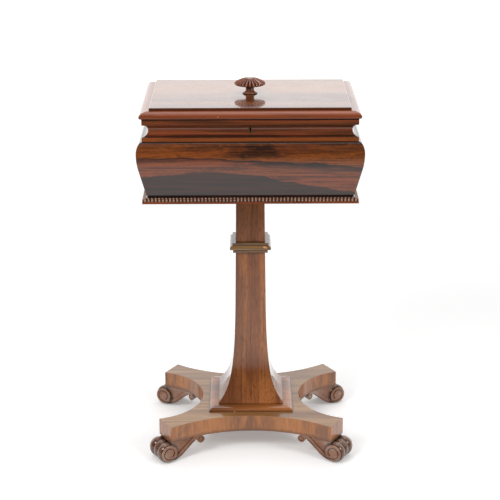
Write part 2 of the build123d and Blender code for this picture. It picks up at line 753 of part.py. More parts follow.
def keyhole(margin=0.0):
    """A keyhole's outline, grown all round by a margin."""
    with BuildSketch() as outline:
        with Locations((0, KEYHOLE_RISE)):
            Circle(KEYHOLE_RADIUS + margin)
        with Locations((0, KEYHOLE_RISE)):
            Rectangle(
                2 * (KEYHOLE_SLOT_HALF + margin),
                KEYHOLE_RISE + KEYHOLE_DROP + margin,
                align=(Align.CENTER, Align.MAX),
            )
    return outline.sketch


def keyhole_plane(y):
    """Upright plane facing the front, centred on the keyhole."""
    return Plane(origin=(0, y, KEYHOLE_Z), x_dir=(1, 0, 0), z_dir=(0, -1, 0))


with BuildPart() as lock_case:
    with BuildSketch(Plane.XY.offset(LOCK_BOTTOM)):
        with Locations((0, LOCK_MIDDLE_Y)):
            Rectangle(2 * LOCK_HALF_WIDTH, LOCK_DEPTH)
    extrude(amount=LOCK_TOP - LOCK_BOTTOM)
    with BuildSketch(Plane.XY.offset(LOCK_BOTTOM + LOCK_SHELL)):
        with Locations((0, LOCK_MIDDLE_Y)):
            Rectangle(2 * (LOCK_HALF_WIDTH - LOCK_SHELL), LOCK_DEPTH - 2 * LOCK_SHELL)
    extrude(amount=LOCK_TOP - LOCK_BOTTOM - LOCK_SHELL, mode=Mode.SUBTRACT)
    with BuildSketch(Plane.XY.offset(LOCK_TOP)):
        with Locations((0, LOCK_SCREW_Y)):
            Rectangle(2 * LOCK_PLATE_HALF_WIDTH, LOCK_PLATE_DEPTH)
        with Locations((-LINK_X, LOCK_MIDDLE_Y), (LINK_X, LOCK_MIDDLE_Y)):
            Rectangle(
                2 * (LINK_HALF_THICKNESS + SLOT_GAP),
                2 * (LINK_HALF_DEPTH + SLOT_GAP),
                mode=Mode.SUBTRACT,
            )
    extrude(amount=LOCK_PLATE_THICKNESS)
    with BuildSketch(keyhole_plane(LOCK_Y_FRONT)):
        add(keyhole())
    extrude(amount=-2 * LOCK_SHELL, mode=Mode.SUBTRACT)
    add(box_screws.part, mode=Mode.SUBTRACT)
save(lock_case, "lock_case")

with BuildPart() as lock_bolt:
    with BuildSketch(Plane(origin=(0, LOCK_MIDDLE_Y, 0), x_dir=(1, 0, 0), z_dir=(0, -1, 0))):
        with BuildLine():
            Polyline(
                (BOLT_BAR_ENDS[0], BOLT_BAR_BOTTOM),
                (BOLT_BAR_ENDS[1], BOLT_BAR_BOTTOM),
                (BOLT_BAR_ENDS[1], BOLT_BAR_TOP),
                (BOLT_BAR_ENDS[0], BOLT_BAR_TOP),
                close=True,
            )
        make_face()
        for tip in (BOLT_TONGUE_TIP, BOLT_TONGUE_TIP - 2 * LINK_X):
            with Locations((tip, BOLT_TONGUE_Z - BOLT_TONGUE_HALF)):
                Rectangle(
                    BOLT_TONGUE_LENGTH, 2 * BOLT_TONGUE_HALF, align=(Align.MAX, Align.MIN)
                )
            with Locations((tip - BOLT_TONGUE_LENGTH, BOLT_BAR_BOTTOM)):
                Rectangle(
                    BOLT_POST_WIDTH,
                    BOLT_TONGUE_Z + BOLT_TONGUE_HALF - BOLT_BAR_BOTTOM,
                    align=(Align.MIN, Align.MIN),
                )
    extrude(amount=BOLT_HALF_THICKNESS, both=True)
save(lock_bolt, "lock_bolt")

with BuildPart() as link_plate:
    with BuildSketch(Plane.XY.offset(LID_BOTTOM)):
        with Locations((0, LOCK_SCREW_Y)):
            Rectangle(2 * LOCK_PLATE_HALF_WIDTH, LOCK_PLATE_DEPTH)
    extrude(amount=LOCK_PLATE_THICKNESS)
    with BuildSketch(Plane.XY.offset(LINK_BOTTOM)):
        with Locations((-LINK_X, LOCK_MIDDLE_Y), (LINK_X, LOCK_MIDDLE_Y)):
            Rectangle(2 * LINK_HALF_THICKNESS, 2 * LINK_HALF_DEPTH)
    extrude(amount=LID_BOTTOM - LINK_BOTTOM)
    with BuildSketch(Plane(origin=(-LINK_X * 2, LOCK_MIDDLE_Y, BOLT_TONGUE_Z), z_dir=(1, 0, 0))):
        Rectangle(2 * LINK_EYE_HALF, 2 * LINK_EYE_HALF)
    extrude(amount=LINK_X * 4, mode=Mode.SUBTRACT)
    add(lid_screws.part, mode=Mode.SUBTRACT)
save(link_plate, "link_plate")

# ---------------------------------------------------------------- frieze and escutcheon

SCOTIA_AXIS = Plane(
    origin=(0, -(HALF_DEPTH + FRIEZE_FILLET_OUT), KEYHOLE_Z), x_dir=(0, 1, 0), z_dir=(1, 0, 0)
)

with BuildPart() as escutcheon:
    with BuildSketch(keyhole_plane(LOCK_Y_FRONT)):
        add(keyhole(ESCUTCHEON_RIM))
        add(keyhole(), mode=Mode.SUBTRACT)
    extrude(amount=HALF_DEPTH + FRIEZE_FILLET_OUT + LOCK_Y_FRONT)
    with BuildSketch(SCOTIA_AXIS):
        Circle(SCOTIA_RADIUS - ESCUTCHEON_PROUD)
    extrude(amount=LOCK_HALF_WIDTH, both=True, mode=Mode.SUBTRACT)
save(escutcheon, "escutcheon")

with BuildSketch() as frieze_profile:
    with BuildLine():
        Polyline(
            (FRIEZE_FILLET_OUT, KEYHOLE_Z - SCOTIA_RADIUS),
            (FRIEZE_FILLET_OUT, WALL_TOP),
            (INNER_OUT, WALL_TOP),
            (INNER_OUT, RIM),
            (FRIEZE_FILLET_OUT, RIM),
            (FRIEZE_FILLET_OUT, KEYHOLE_Z + SCOTIA_RADIUS),
        )
        ThreePointArc(
            (FRIEZE_FILLET_OUT, KEYHOLE_Z + SCOTIA_RADIUS),
            (FRIEZE_FILLET_OUT - SCOTIA_RADIUS, KEYHOLE_Z),
            (FRIEZE_FILLET_OUT, KEYHOLE_Z - SCOTIA_RADIUS),
        )
    make_face()

# The wood cut away in the front for the lock, its keyhole and the brass lining.
with BuildPart() as lock_mortise:
    with BuildSketch(Plane.XY.offset(LOCK_BOTTOM)):
        with Locations((0, LOCK_MIDDLE_Y)):
            Rectangle(2 * LOCK_HALF_WIDTH, LOCK_DEPTH)
    extrude(amount=LOCK_TOP - LOCK_BOTTOM)
    with BuildSketch(Plane.XY.offset(LOCK_TOP)):
        with Locations((0, LOCK_SCREW_Y)):
            Rectangle(2 * LOCK_PLATE_HALF_WIDTH, LOCK_PLATE_DEPTH)
    extrude(amount=LOCK_PLATE_THICKNESS)
    with BuildSketch(keyhole_plane(LOCK_Y_FRONT)):
        add(keyhole(ESCUTCHEON_RIM))
    extrude(amount=HALF_DEPTH + FRIEZE_FILLET_OUT + LOCK_Y_FRONT)

frieze_cutters = {
    "front": [lock_mortise.part, box_screws.part],
    "back": [hinge_mortises.part, box_screws.part],
}
for side in CHEST_SIDES:
    strip = mitred_strip(side, frieze_profile, frieze_cutters.get(side.name, ()))
    save(strip, f"frieze_{side.name}")

# ---------------------------------------------------------------- interior

DECK_BOTTOM = DECK_TOP - DECK_THICKNESS
CANISTER_SPOTS = {"left": -CANISTER_X, "right": CANISTER_X}
BOWL_SPOTS = {"front": -BOWL_Y, "back": BOWL_Y}
HOLE_GAP = 0.5

with BuildPart() as deck:
    with BuildSketch(Plane.XY.offset(DECK_BOTTOM)):
        Rectangle(2 * (INNER_X - FIT_GAP), 2 * (INNER_Y - FIT_GAP))
        with Locations(*[(0, y) for y in BOWL_SPOTS.values()]):
            Circle(BOWL_RADIUS + HOLE_GAP, mode=Mode.SUBTRACT)
        with Locations(*[(x, 0) for x in CANISTER_SPOTS.values()]):
            Rectangle(
                CANISTER_WIDTH + 2 * HOLE_GAP, CANISTER_DEPTH + 2 * HOLE_GAP, mode=Mode.SUBTRACT
            )
    extrude(amount=DECK_THICKNESS)
save(deck, "deck")

for name, middle_x in (("left", -PARTITION_X), ("right", PARTITION_X)):
    with BuildPart() as partition:
        with BuildSketch(Plane.XY.offset(BOX_BOTTOM_TOP)):
            with Locations((middle_x, 0)):
                Rectangle(PARTITION_THICKNESS, 2 * (INNER_Y - FIT_GAP))
        extrude(amount=DECK_BOTTOM - BOX_BOTTOM_TOP)
    save(partition, f"partition_{name}")

CANISTER_LID_LAP = 2.0
CANISTER_LID_PLUG = 4.0
CANISTER_LID_STEP = 14.0
CANISTER_LID_RISE = 2.2
BALL_RADIUS = 5.6
BALL_MIDDLE = CANISTER_LID_TOP + 9.2
BALL_FOOT_RADIUS = 5.0
BALL_FOOT_HEIGHT = 1.2
BALL_STEM_RADIUS = 3.0

for name, middle_x in CANISTER_SPOTS.items():
    with BuildPart() as canister:
        with BuildSketch(Plane.XY.offset(BOX_BOTTOM_TOP)):
            with Locations((middle_x, 0)):
                Rectangle(CANISTER_WIDTH, CANISTER_DEPTH)
        extrude(amount=CANISTER_TOP - BOX_BOTTOM_TOP)
        with BuildSketch(Plane.XY.offset(BOX_BOTTOM_TOP + CANISTER_WALL)):
            with Locations((middle_x, 0)):
                Rectangle(CANISTER_WIDTH - 2 * CANISTER_WALL, CANISTER_DEPTH - 2 * CANISTER_WALL)
        extrude(amount=CANISTER_TOP - BOX_BOTTOM_TOP - CANISTER_WALL, mode=Mode.SUBTRACT)
    save(canister, f"canister_{name}")

    with BuildPart() as canister_lid:
        with BuildSketch(Plane.XY.offset(CANISTER_TOP)):
            with Locations((middle_x, 0)):
                Rectangle(
                    CANISTER_WIDTH + 2 * CANISTER_LID_LAP, CANISTER_DEPTH + 2 * CANISTER_LID_LAP
                )
        extrude(amount=CANISTER_LID_TOP - CANISTER_LID_RISE - CANISTER_TOP)
        with BuildSketch(Plane.XY.offset(CANISTER_LID_TOP - CANISTER_LID_RISE)):
            with Locations((middle_x, 0)):
                Rectangle(
                    CANISTER_WIDTH - CANISTER_LID_STEP, CANISTER_DEPTH - CANISTER_LID_STEP
                )
        extrude(amount=CANISTER_LID_RISE)
        with BuildSketch(Plane.XY.offset(CANISTER_TOP)):
            with Locations((middle_x, 0)):
                Rectangle(
                    CANISTER_WIDTH - 2 * (CANISTER_WALL + HOLE_GAP),
                    CANISTER_DEPTH - 2 * (CANISTER_WALL + HOLE_GAP),
                )
        extrude(amount=-CANISTER_LID_PLUG)
    save(canister_lid, f"canister_lid_{name}")

    with BuildPart() as canister_knob:
        with Locations((middle_x, 0, CANISTER_LID_TOP)):
            Cylinder(
                BALL_FOOT_RADIUS,
                BALL_FOOT_HEIGHT,
                align=(Align.CENTER, Align.CENTER, Align.MIN),
            )
            Cylinder(
                BALL_STEM_RADIUS,
                BALL_MIDDLE - CANISTER_LID_TOP,
                align=(Align.CENTER, Align.CENTER, Align.MIN),
            )
        with Locations((middle_x, 0, BALL_MIDDLE)):
            Sphere(BALL_RADIUS)
    save(canister_knob, f"canister_knob_{name}")

BOWL_RIM_THICKNESS = 3.0
BOWL_FOOT_RADIUS = 20.0
BOWL_FOOT_HEIGHT = 4.0
BOWL_SPRING = DECK_TOP + BOWL_RIM_THICKNESS - BOWL_DEPTH + BOWL_RADIUS

for name, middle_y in BOWL_SPOTS.items():
    with BuildPart() as bowl:
        with Locations((0, middle_y, BOWL_SPRING)):
            Sphere(BOWL_RADIUS)
            Cylinder(
                BOWL_RADIUS,
                DECK_TOP - BOWL_SPRING,
                align=(Align.CENTER, Align.CENTER, Align.MIN),
            )
        split(bisect_by=Plane.XY.offset(DECK_TOP), keep=Keep.BOTTOM)
        with Locations((0, middle_y, DECK_TOP)):
            Cylinder(
                BOWL_RIM_RADIUS,
                BOWL_RIM_THICKNESS,
                align=(Align.CENTER, Align.CENTER, Align.MIN),
            )
        with Locations((0, middle_y, BOWL_SPRING - BOWL_RADIUS)):
            Cylinder(
                BOWL_FOOT_RADIUS,
                BOWL_FOOT_HEIGHT,
                align=(Align.CENTER, Align.CENTER, Align.MIN),
            )
        with Locations((0, middle_y, BOWL_SPRING)):
            Sphere(BOWL_RADIUS - BOWL_WALL, mode=Mode.SUBTRACT)
            Cylinder(
                BOWL_RADIUS - BOWL_WALL,
                BOWL_DEPTH,
                align=(Align.CENTER, Align.CENTER, Align.MIN),
                mode=Mode.SUBTRACT,
            )
    save(bowl, f"bowl_{name}")

# ---------------------------------------------------------------- lid

FRAME_INNER_OUT = -14.0
LID_EDGE_OUT = 20.2
LID_UNDERCUT = 2.6
LID_NOSE = (19.3, 758.6)
LID_OVOLO_BOTTOM = 761.4
LID_OVOLO_IN = 3.6
LINING_THICKNESS = 2.2

with BuildSketch() as lid_moulding_profile:
    with BuildLine():
        Polyline(
            (FRAME_INNER_OUT, LID_RECESS),
            (FRAME_INNER_OUT, LID_BOTTOM),
            (LID_EDGE_OUT - LID_UNDERCUT, LID_BOTTOM),
        )
        ThreePointArc(
            (LID_EDGE_OUT - LID_UNDERCUT, LID_BOTTOM),
            LID_NOSE,
            (LID_EDGE_OUT, LID_OVOLO_BOTTOM),
        )
        EllipticalCenterArc(
            (LID_OVOLO_IN, LID_OVOLO_BOTTOM),
            x_radius=LID_EDGE_OUT - LID_OVOLO_IN,
            y_radius=LID_SHOULDER - LID_OVOLO_BOTTOM,
            start_angle=0,
            arc_size=90,
        )
        Polyline(
            (LID_OVOLO_IN, LID_SHOULDER),
            (0, LID_SHOULDER),
            (0, LID_RECESS),
            (FRAME_INNER_OUT, LID_RECESS),
        )
    make_face()

# Cut into the underside of the lid: the hinge leaves, the knuckles and the lock's link plate.
with BuildPart() as link_mortise:
    with BuildSketch(Plane.XY.offset(LID_BOTTOM)):
        with Locations((0, LOCK_SCREW_Y)):
            Rectangle(2 * LOCK_PLATE_HALF_WIDTH, LOCK_PLATE_DEPTH)
    extrude(amount=LOCK_PLATE_THICKNESS)

lid_cutters = {
    "front": [link_mortise.part, lid_screws.part],
    "back": [hinge_mortises.part, lid_screws.part],
}
for side in CHEST_SIDES:
    strip = mitred_strip(side, lid_moulding_profile, lid_cutters.get(side.name, ()))
    save(strip, f"lid_moulding_{side.name}")

PANEL_CHAMFER = 0.8
KNOB_SCREW_LENGTH = 26.0
knob_screw_solid = countersunk_screw(KNOB_SCREW_LENGTH, LARGE_SCREW_SHANK, LARGE_SCREW_HEAD)
knob_screw = screw_group(knob_screw_solid, [Location((0, 0, LID_RECESS), DRIVEN_UP)])
save(knob_screw, "knob_screw")

with BuildPart() as lid_panel:
    with BuildSketch(Plane.XY.offset(LID_RECESS)):
        Rectangle(2 * HALF_WIDTH, 2 * HALF_DEPTH)
    extrude(amount=LID_TOP - LID_RECESS)
    chamfer(lid_panel.faces().sort_by(Axis.Z)[-1].edges(), length=PANEL_CHAMFER)
    add(knob_screw.part, mode=Mode.SUBTRACT)
save(lid_panel, "lid_panel")

with BuildPart() as lid_lining:
    with BuildSketch(Plane.XY.offset(LID_RECESS)):
        Rectangle(
            2 * (HALF_WIDTH + FRAME_INNER_OUT - FIT_GAP),
            2 * (HALF_DEPTH + FRAME_INNER_OUT - FIT_GAP),
        )
    extrude(amount=-LINING_THICKNESS)
save(lid_lining, "lid_lining")

# ---------------------------------------------------------------- knob

# Radii, and heights above the lid panel.
KNOB_FOOT_RADIUS = 15.0
KNOB_TORUS = (15.8, 1.5)
KNOB_TORUS_TOP = (14.6, 3.0)
KNOB_STEP = (13.6, 3.0)
KNOB_COVE = (10.0, 5.8)
KNOB_WAIST = (8.4, 9.8)
KNOB_BEAD = (9.6, 11.4)
KNOB_BEAD_TOP = (8.4, 13.0)
KNOB_THROAT = (8.4, 14.2)
KNOB_RIM_UNDER = (30.8, 18.4)
KNOB_RIM = (32.8, 20.6)
KNOB_RIM_OVER = (30.6, 23.8)
KNOB_DOME = (20.0, 29.8)
KNOB_EYE_RADIUS = 4.6
KNOB_CROWN_HEIGHT = 33.4
KNOB_EYE_HEIGHT = 32.6
KNOB_LOBES = 24

# The flutes between the lobes run down the dome on an arc, and scallop the rim.
FLUTE_RADIUS = 1.6
FLUTE_CENTRE = (-5.9, -27.3)
FLUTE_SWEEP_RADIUS = 63.5
FLUTE_START = 13.0
FLUTE_ARC = 27.0
SCALLOP_OUT = 33.2
SCALLOP_TOP = 22.4

with BuildSketch() as knob_profile:
    with BuildLine():
        Line((0, 0), (KNOB_FOOT_RADIUS, 0))
        ThreePointArc((KNOB_FOOT_RADIUS, 0), KNOB_TORUS, KNOB_TORUS_TOP)
        Line(KNOB_TORUS_TOP, KNOB_STEP)
        ThreePointArc(KNOB_STEP, KNOB_COVE, KNOB_WAIST)
        ThreePointArc(KNOB_WAIST, KNOB_BEAD, KNOB_BEAD_TOP)
        Polyline(KNOB_BEAD_TOP, KNOB_THROAT, KNOB_RIM_UNDER)
        ThreePointArc(KNOB_RIM_UNDER, KNOB_RIM, KNOB_RIM_OVER)
        ThreePointArc(KNOB_RIM_OVER, KNOB_DOME, (KNOB_EYE_RADIUS, KNOB_CROWN_HEIGHT))
        Polyline(
            (KNOB_EYE_RADIUS, KNOB_CROWN_HEIGHT),
            (KNOB_EYE_RADIUS, KNOB_EYE_HEIGHT),
            (0, KNOB_EYE_HEIGHT),
            (0, 0),
        )
    make_face()

FLUTE_RUN = Vector(1, 0, 0).rotate(Axis.Y, FLUTE_START)
flute_axis = Axis((FLUTE_CENTRE[0], 0, LID_TOP + FLUTE_CENTRE[1]), (0, 1, 0))
with BuildPart() as flute:
    with BuildSketch(Plane(flute_axis.position, x_dir=(0, 1, 0), z_dir=FLUTE_RUN)):
        with Locations((0, FLUTE_SWEEP_RADIUS)):
            Circle(FLUTE_RADIUS)
    revolve(axis=flute_axis, revolution_arc=FLUTE_ARC)

with BuildPart() as knob:
    with BuildSketch(Plane.XZ):
        with Locations((0, LID_TOP)):
            add(knob_profile.sketch)
    revolve(axis=Axis.Z)
    with PolarLocations(0, KNOB_LOBES):
        add(flute.part, mode=Mode.SUBTRACT)
    with PolarLocations(SCALLOP_OUT, KNOB_LOBES):
        Cylinder(
            FLUTE_RADIUS,
            LID_TOP + SCALLOP_TOP,
            align=(Align.CENTER, Align.CENTER, Align.MIN),
            mode=Mode.SUBTRACT,
        )
    add(knob_screw.part, mode=Mode.SUBTRACT)
save(knob, "knob")
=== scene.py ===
import math

import bmesh
import bpy
from bpy.props import FloatProperty, FloatVectorProperty, IntProperty, PointerProperty
from mathutils import Matrix, Vector


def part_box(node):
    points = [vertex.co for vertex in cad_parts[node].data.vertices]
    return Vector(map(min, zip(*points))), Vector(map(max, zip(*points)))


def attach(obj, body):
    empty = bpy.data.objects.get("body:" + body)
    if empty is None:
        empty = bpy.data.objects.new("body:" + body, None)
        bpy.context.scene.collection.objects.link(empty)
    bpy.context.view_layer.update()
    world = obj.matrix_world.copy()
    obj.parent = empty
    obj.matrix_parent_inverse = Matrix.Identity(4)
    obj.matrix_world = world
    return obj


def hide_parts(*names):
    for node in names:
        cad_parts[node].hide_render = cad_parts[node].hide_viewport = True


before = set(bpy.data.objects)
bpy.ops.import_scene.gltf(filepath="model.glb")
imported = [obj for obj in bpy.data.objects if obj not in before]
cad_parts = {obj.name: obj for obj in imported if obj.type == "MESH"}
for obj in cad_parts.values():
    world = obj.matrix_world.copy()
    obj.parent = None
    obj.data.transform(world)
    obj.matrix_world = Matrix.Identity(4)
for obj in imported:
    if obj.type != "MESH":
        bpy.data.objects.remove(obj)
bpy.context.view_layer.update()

bl_info = {
    "name": "Teapoy",
    "version": (1, 0, 0),
    "blender": (4, 5, 0),
    "location": "3D View > Sidebar > Teapoy",
    "description": "Carving, finishes and stage for a rosewood tea chest on a column",
    "category": "Object",
}


# ---------------------------------------------------------------- named values, in metres


# Sides whose grain runs along one axis, and the way each side faces.
PAIRS = (("x", ("front", "back")), ("y", ("left", "right")))
OUTWARD = {
    "front": Vector((0, -1, 0)),
    "back": Vector((0, 1, 0)),
    "left": Vector((-1, 0, 0)),
    "right": Vector((1, 0, 0)),
}
# The figures draw the grain along X; these turns bring it onto an axis.
TURNS = {"x": (0.0, 0.0, 0.0), "y": (0.0, 0.0, math.radians(-90))}

VECTOR, COLOUR, NUMBER = "NodeSocketVector", "NodeSocketColor", "NodeSocketFloat"
FIGURE_TONES = {
    "Vector": None,
    "Pale": (0.3, 0.1, 0.03, 1),
    "Middle": (0.15, 0.05, 0.02, 1),
    "Dark": (0.02, 0.01, 0.01, 1),
}
FIGURE_RESULTS = {"Color": COLOUR, "Sheen": NUMBER, "Relief": NUMBER}
FIGURE_NUMBERS = {
    "Ring Size": 16.0,
    "Rings": 8.0,
    "Ring Strength": 0.5,
    "Dark Share": 0.4,
    "Streaks": 0.5,
    "Fineness": 0.4,
}
# Each wood: its tones from pale to dark, where its figure starts, and all but the last of the figure's
# numbers. The front wall has a figure of its own.
WOODS = {
    "Platform": (("sand", "bark", "brown"), (0.3, 0.1, 0), (14.0, 5.0, 0.2, 0.2, 0.6)),
    "Feet": (("ash", "autumn", "brown"), (0.7, 0.2, 0), (22.0, 6.0, 0.2, 0.1, 0.4)),
    "Plinth": (("faded", "tawny", "brown"), (0.1, 0.4, 0), (18.0, 6.0, 0.2, 0.1, 0.3)),
    "Column": (("faded", "autumn", "tawny"), (0, 0.03, 0.2), (26.0, 7.0, 0.5, 0.2, 0.7)),
    "Collar": (("sand", "tawny", "umber"), (0.2, 0, 0), (30.0, 5.0, 0.5, 0.35, 0.8)),
    "Front": (("honey", "russet", "umber"), (0, 0, 0), None),
    "Wall": (("honey", "russet", "umber"), (0.35, 0.11, 0), (13.0, 6.0, 0.6, 0.45, 0.5)),
    "Frieze": (("russet", "tawny", "umber"), (0.9, 0.3, 0), (26.0, 5.0, 0.5, 0.2, 0.7)),
    "Bead Strip": (("russet", "tawny", "umber"), (0.6, 0.1, 0), (26.0, 5.0, 0.3, 0.1, 0.4)),
    # The beads are paler than their strip, as painted light on their rounded tops.
    "Beads": (("ash", "ash", "umber"), (0.6, 0.1, 0), (26.0, 5.0, 0.3, 0.1, 0.4)),
    "Board": (("tawny", "brown", "umber"), (0.4, 0.2, 0), (20.0, 5.0, 0.3, 0.4, 0.4)),
    "Lid Panel": (("autumn", "tawny", "brown"), (0.15, 0.25, 0), (10.0, 4.0, 0.1, 0.1, 0.2)),
    "Lid Edge": (("russet", "russet", "brown"), (0.5, 0.6, 0), (22.0, 5.0, 0.35, 0.1, 0.35)),
    # The knob's pale ash tone also stands for the white reflections on its polish: painted reflection.
    "Knob": (("ash", "russet", "umber"), (0.2, 0.7, 0), (26.0, 5.0, 0.2, 0.1, 0.3)),
    "Interior": (("tawny", "brown", "umber"), (0.8, 0.5, 0), (20.0, 6.0, 0.4, 0.3, 0.4)),
}
WOOD_IOR = 1.5
WOOD_SPECULAR = 0.15
WOOD_RELIEF = 0.06
PORE_DEPTH = 0.0004
POLISH_IOR = 1.55
LID_EDGE_COAT = {"x": 0.5, "y": 1.0}
GLASS_IOR = 1.5
VELVET_SHEEN = (0.9, 0.55, 0.5, 1.0)
EFFECT_SAMPLES = 4
# How much of a face's normal points up or down, from an upright face to a flat one.
FLAT_TOP = (0.55, 0.75)

# Front wall: its extent, and where each band's edge lies, as shares along it and down from its top.
WALL_HALF_LENGTH = 0.232
WALL_TOP = 0.710
WALL_RISE = 0.118
HONEY_EDGE = ((0.0, 0.27), (0.40, 0.27), (0.47, 0.285), (0.60, 0.32), (0.72, 0.355), (1.0, 0.46))
RUSSET_TOP = (
    (0.0, 0.27), (0.42, 0.28), (0.50, 0.36), (0.57, 0.47), (0.64, 0.47), (0.80, 0.49), (1.0, 0.56),
)
RUSSET_END = (
    (0.0, 0.59), (0.12, 0.575), (0.26, 0.52), (0.38, 0.53), (0.46, 0.56), (0.54, 0.585), (0.60, 0.68),
    (0.72, 0.755), (0.84, 0.85), (1.0, 0.96),
)
SMOKE_PLACE = 0.53

# Painted shades. A pair gives the two places between which a shade fades in.
WALL_RIM = (0.7068, 0.7088)
COLUMN_LEFT = (-0.006, -0.034)
COLUMN_SEAM = 0.002
COLUMN_FLARE = 0.172
# Heights between which painted light makes the shaft paler.
COLUMN_PAINTED_LIGHT = (0.45, 0.56)
DRUM_CENTRE = (0.190425, -0.15126, 0.0222)
DRUM_ACROSS = (0.502, 0.865, 0.0)
DRUM_RADIUS = (0.0252, 0.0238)
DRUM_END = (0.0268, 0.0260)
DRUM_GROOVE = 0.0089
DRUM_OUTER_GROOVE = (0.0235, 0.0256)
KNOB_CROWN = (0.006, 0.013)
KNOB_DOME_HEIGHT = (0.0148, 0.0165)
PLATFORM_ENDS = (0.085, 0.165)
PLATFORM_MIDDLE = (0.09, 0.02)
PLATFORM_BRINK = (0.009, 0.001)
FRIEZE_SHOULDER = (0.7080, 0.7096)
FRIEZE_FILLET = (0.7188, 0.7170)
FRIEZE_HOLLOW = 0.7200
LID_SHADOW = (0.7530, 0.7552)
BEAD_FILLET_SHARE = 0.39
BEAD_FILLET_BLUR = 0.0004
# Small chips in the polish, as (place, radius).
PLINTH_CHIPS = (((-0.0362, -0.0915, 0.0820), 0.0030), ((-0.0300, -0.0915, 0.0812), 0.0016))
COLLAR_CHIPS = (((0.0301, -0.0440, 0.4490), 0.0040), ((0.0335, -0.0440, 0.4470), 0.0022))
WALL_CHIPS = (((-0.0826, -0.1490, 0.7080), 0.0014), ((0.0724, -0.1520, 0.7030), 0.0016))
LID_CHIPS = (((-0.0652, -0.1560, 0.7625), 0.0012),)

MERGE_DISTANCE = 1e-6

# Carved rows under the chest: size in bead radii, inset, drop, lean in degrees, and shift in pitches.
BEAD_ROW = ((0.62, 0.60, 0.62), 0.0052, 0.0012, 0.0, 0.5)
EGG_ROW = ((0.80, 0.95, 1.0), 0.0024, 0.0046, 24.0, 0.0)
BEAD_SEGMENTS = {"u_segments": 8, "v_segments": 5}

# Half section of the knob, as (radius, height above the lid).
KNOB_PROFILE = (
    (0.0, 0.0), (0.0150, 0.0), (0.0158, 0.0008), (0.0158, 0.0022), (0.0148, 0.0030), (0.0136, 0.0031),
    (0.0118, 0.0040), (0.0100, 0.0058), (0.0090, 0.0078), (0.0084, 0.0098), (0.0092, 0.0103),
    (0.0096, 0.0114), (0.0092, 0.0124), (0.0084, 0.0130), (0.0084, 0.0142), (0.0110, 0.0146),
    (0.0180, 0.0158), (0.0250, 0.0172), (0.0300, 0.0182), (0.0320, 0.0190), (0.0328, 0.0204),
    (0.0326, 0.0220), (0.0314, 0.0236), (0.0290, 0.0252), (0.0250, 0.0274), (0.0200, 0.0297),
    (0.0150, 0.0314), (0.0100, 0.0326), (0.0062, 0.0331), (0.0048, 0.0328), (0.0042, 0.0331),
    (0.0030, 0.0334), (0.0, 0.0334),
)
KNOB_STEPS = 8
KNOB_RIM_HEIGHT = 0.0204
LOBE_SPREAD = 0.9
LOBE_RISE = 0.3
LOBES_ON_DOME = (0.0062, 0.0182)
LOBES_UNDER_RIM = (0.024, 0.032)

SCREW_SEGMENTS = 24
SCREW_END = 0.999
SCREW_RIM = 0.05

# The lid's cloth: its solver, its grid, its folds between buttons, and its trim.
CLOTH = {
    "quality": 6,
    "mass": 0.25,
    "tension_stiffness": 10.0,
    "compression_stiffness": 6.0,
    "bending_stiffness": 0.4,
    "shrink_min": -0.05,
    "use_pressure": True,
    "uniform_pressure_force": 4.0,
}
CLOTH_TICKS = 20
TUFT_SQUASH = 1.2
PLEAT_DEPTH = 0.7
PLEAT_WIDTH = 0.055
LINING_GRID = (152, 98)
LINING_EDGE_RISE = 0.0018
BUTTON_FLATNESS = 0.36
BUTTON_SEGMENTS = {"u_segments": 16, "v_segments": 8}
PIPING_RADIUS = 0.0009
PIPING_SINK = 0.4

# Lamps: name, place, aim, width, depth and power.
LAMPS = (
    ("key softbox", (-2.1, -2.5, 2.9), (0, 0, 0.5), 1.3, 1.3, 62.0),
    ("fill softbox", (2.5, -2.1, 2.3), (0, 0, 0.5), 1.3, 1.3, 36.0),
    ("overhead softbox", (0.0, 0.6, 3.6), (0, 0, 0.4), 3.6, 3.6, 52.0),
    ("back softbox", (0.0, 9.0, 2.25), (0, 0, 2.25), 14.0, 3.6, 55.0),
)
WORLD_LIGHT = 0.35
WORLD_MIRRORED = (0.0, 0.75)
WORLD_LEAST_MIRRORED = 0.05
FLOOR_REACH = 14.0
FLOOR_GLOW_REACH = (1.6, 4.5)
FLOOR_MIRRORED_REACH = (-0.6, -2.2)
FLOOR_MIRRORED_SHARE = 0.12
SENSOR_WIDTH = 36.0
CAMERA_PLACE = (-0.0127, -2.9752, 1.443)
CAMERA_SWING = -0.004
CAMERA_DIP = 0.329
CAMERA_ROLL = -0.003


# ---------------------------------------------------------------- sizes and colours


def colour(name, description, default):
    return FloatVectorProperty(
        name=name, description=description, default=default, size=3, min=0.0, max=1.0, subtype="COLOR"
    )


def length(name, description, default):
    return FloatProperty(name=name, description=description, default=default, unit="LENGTH")


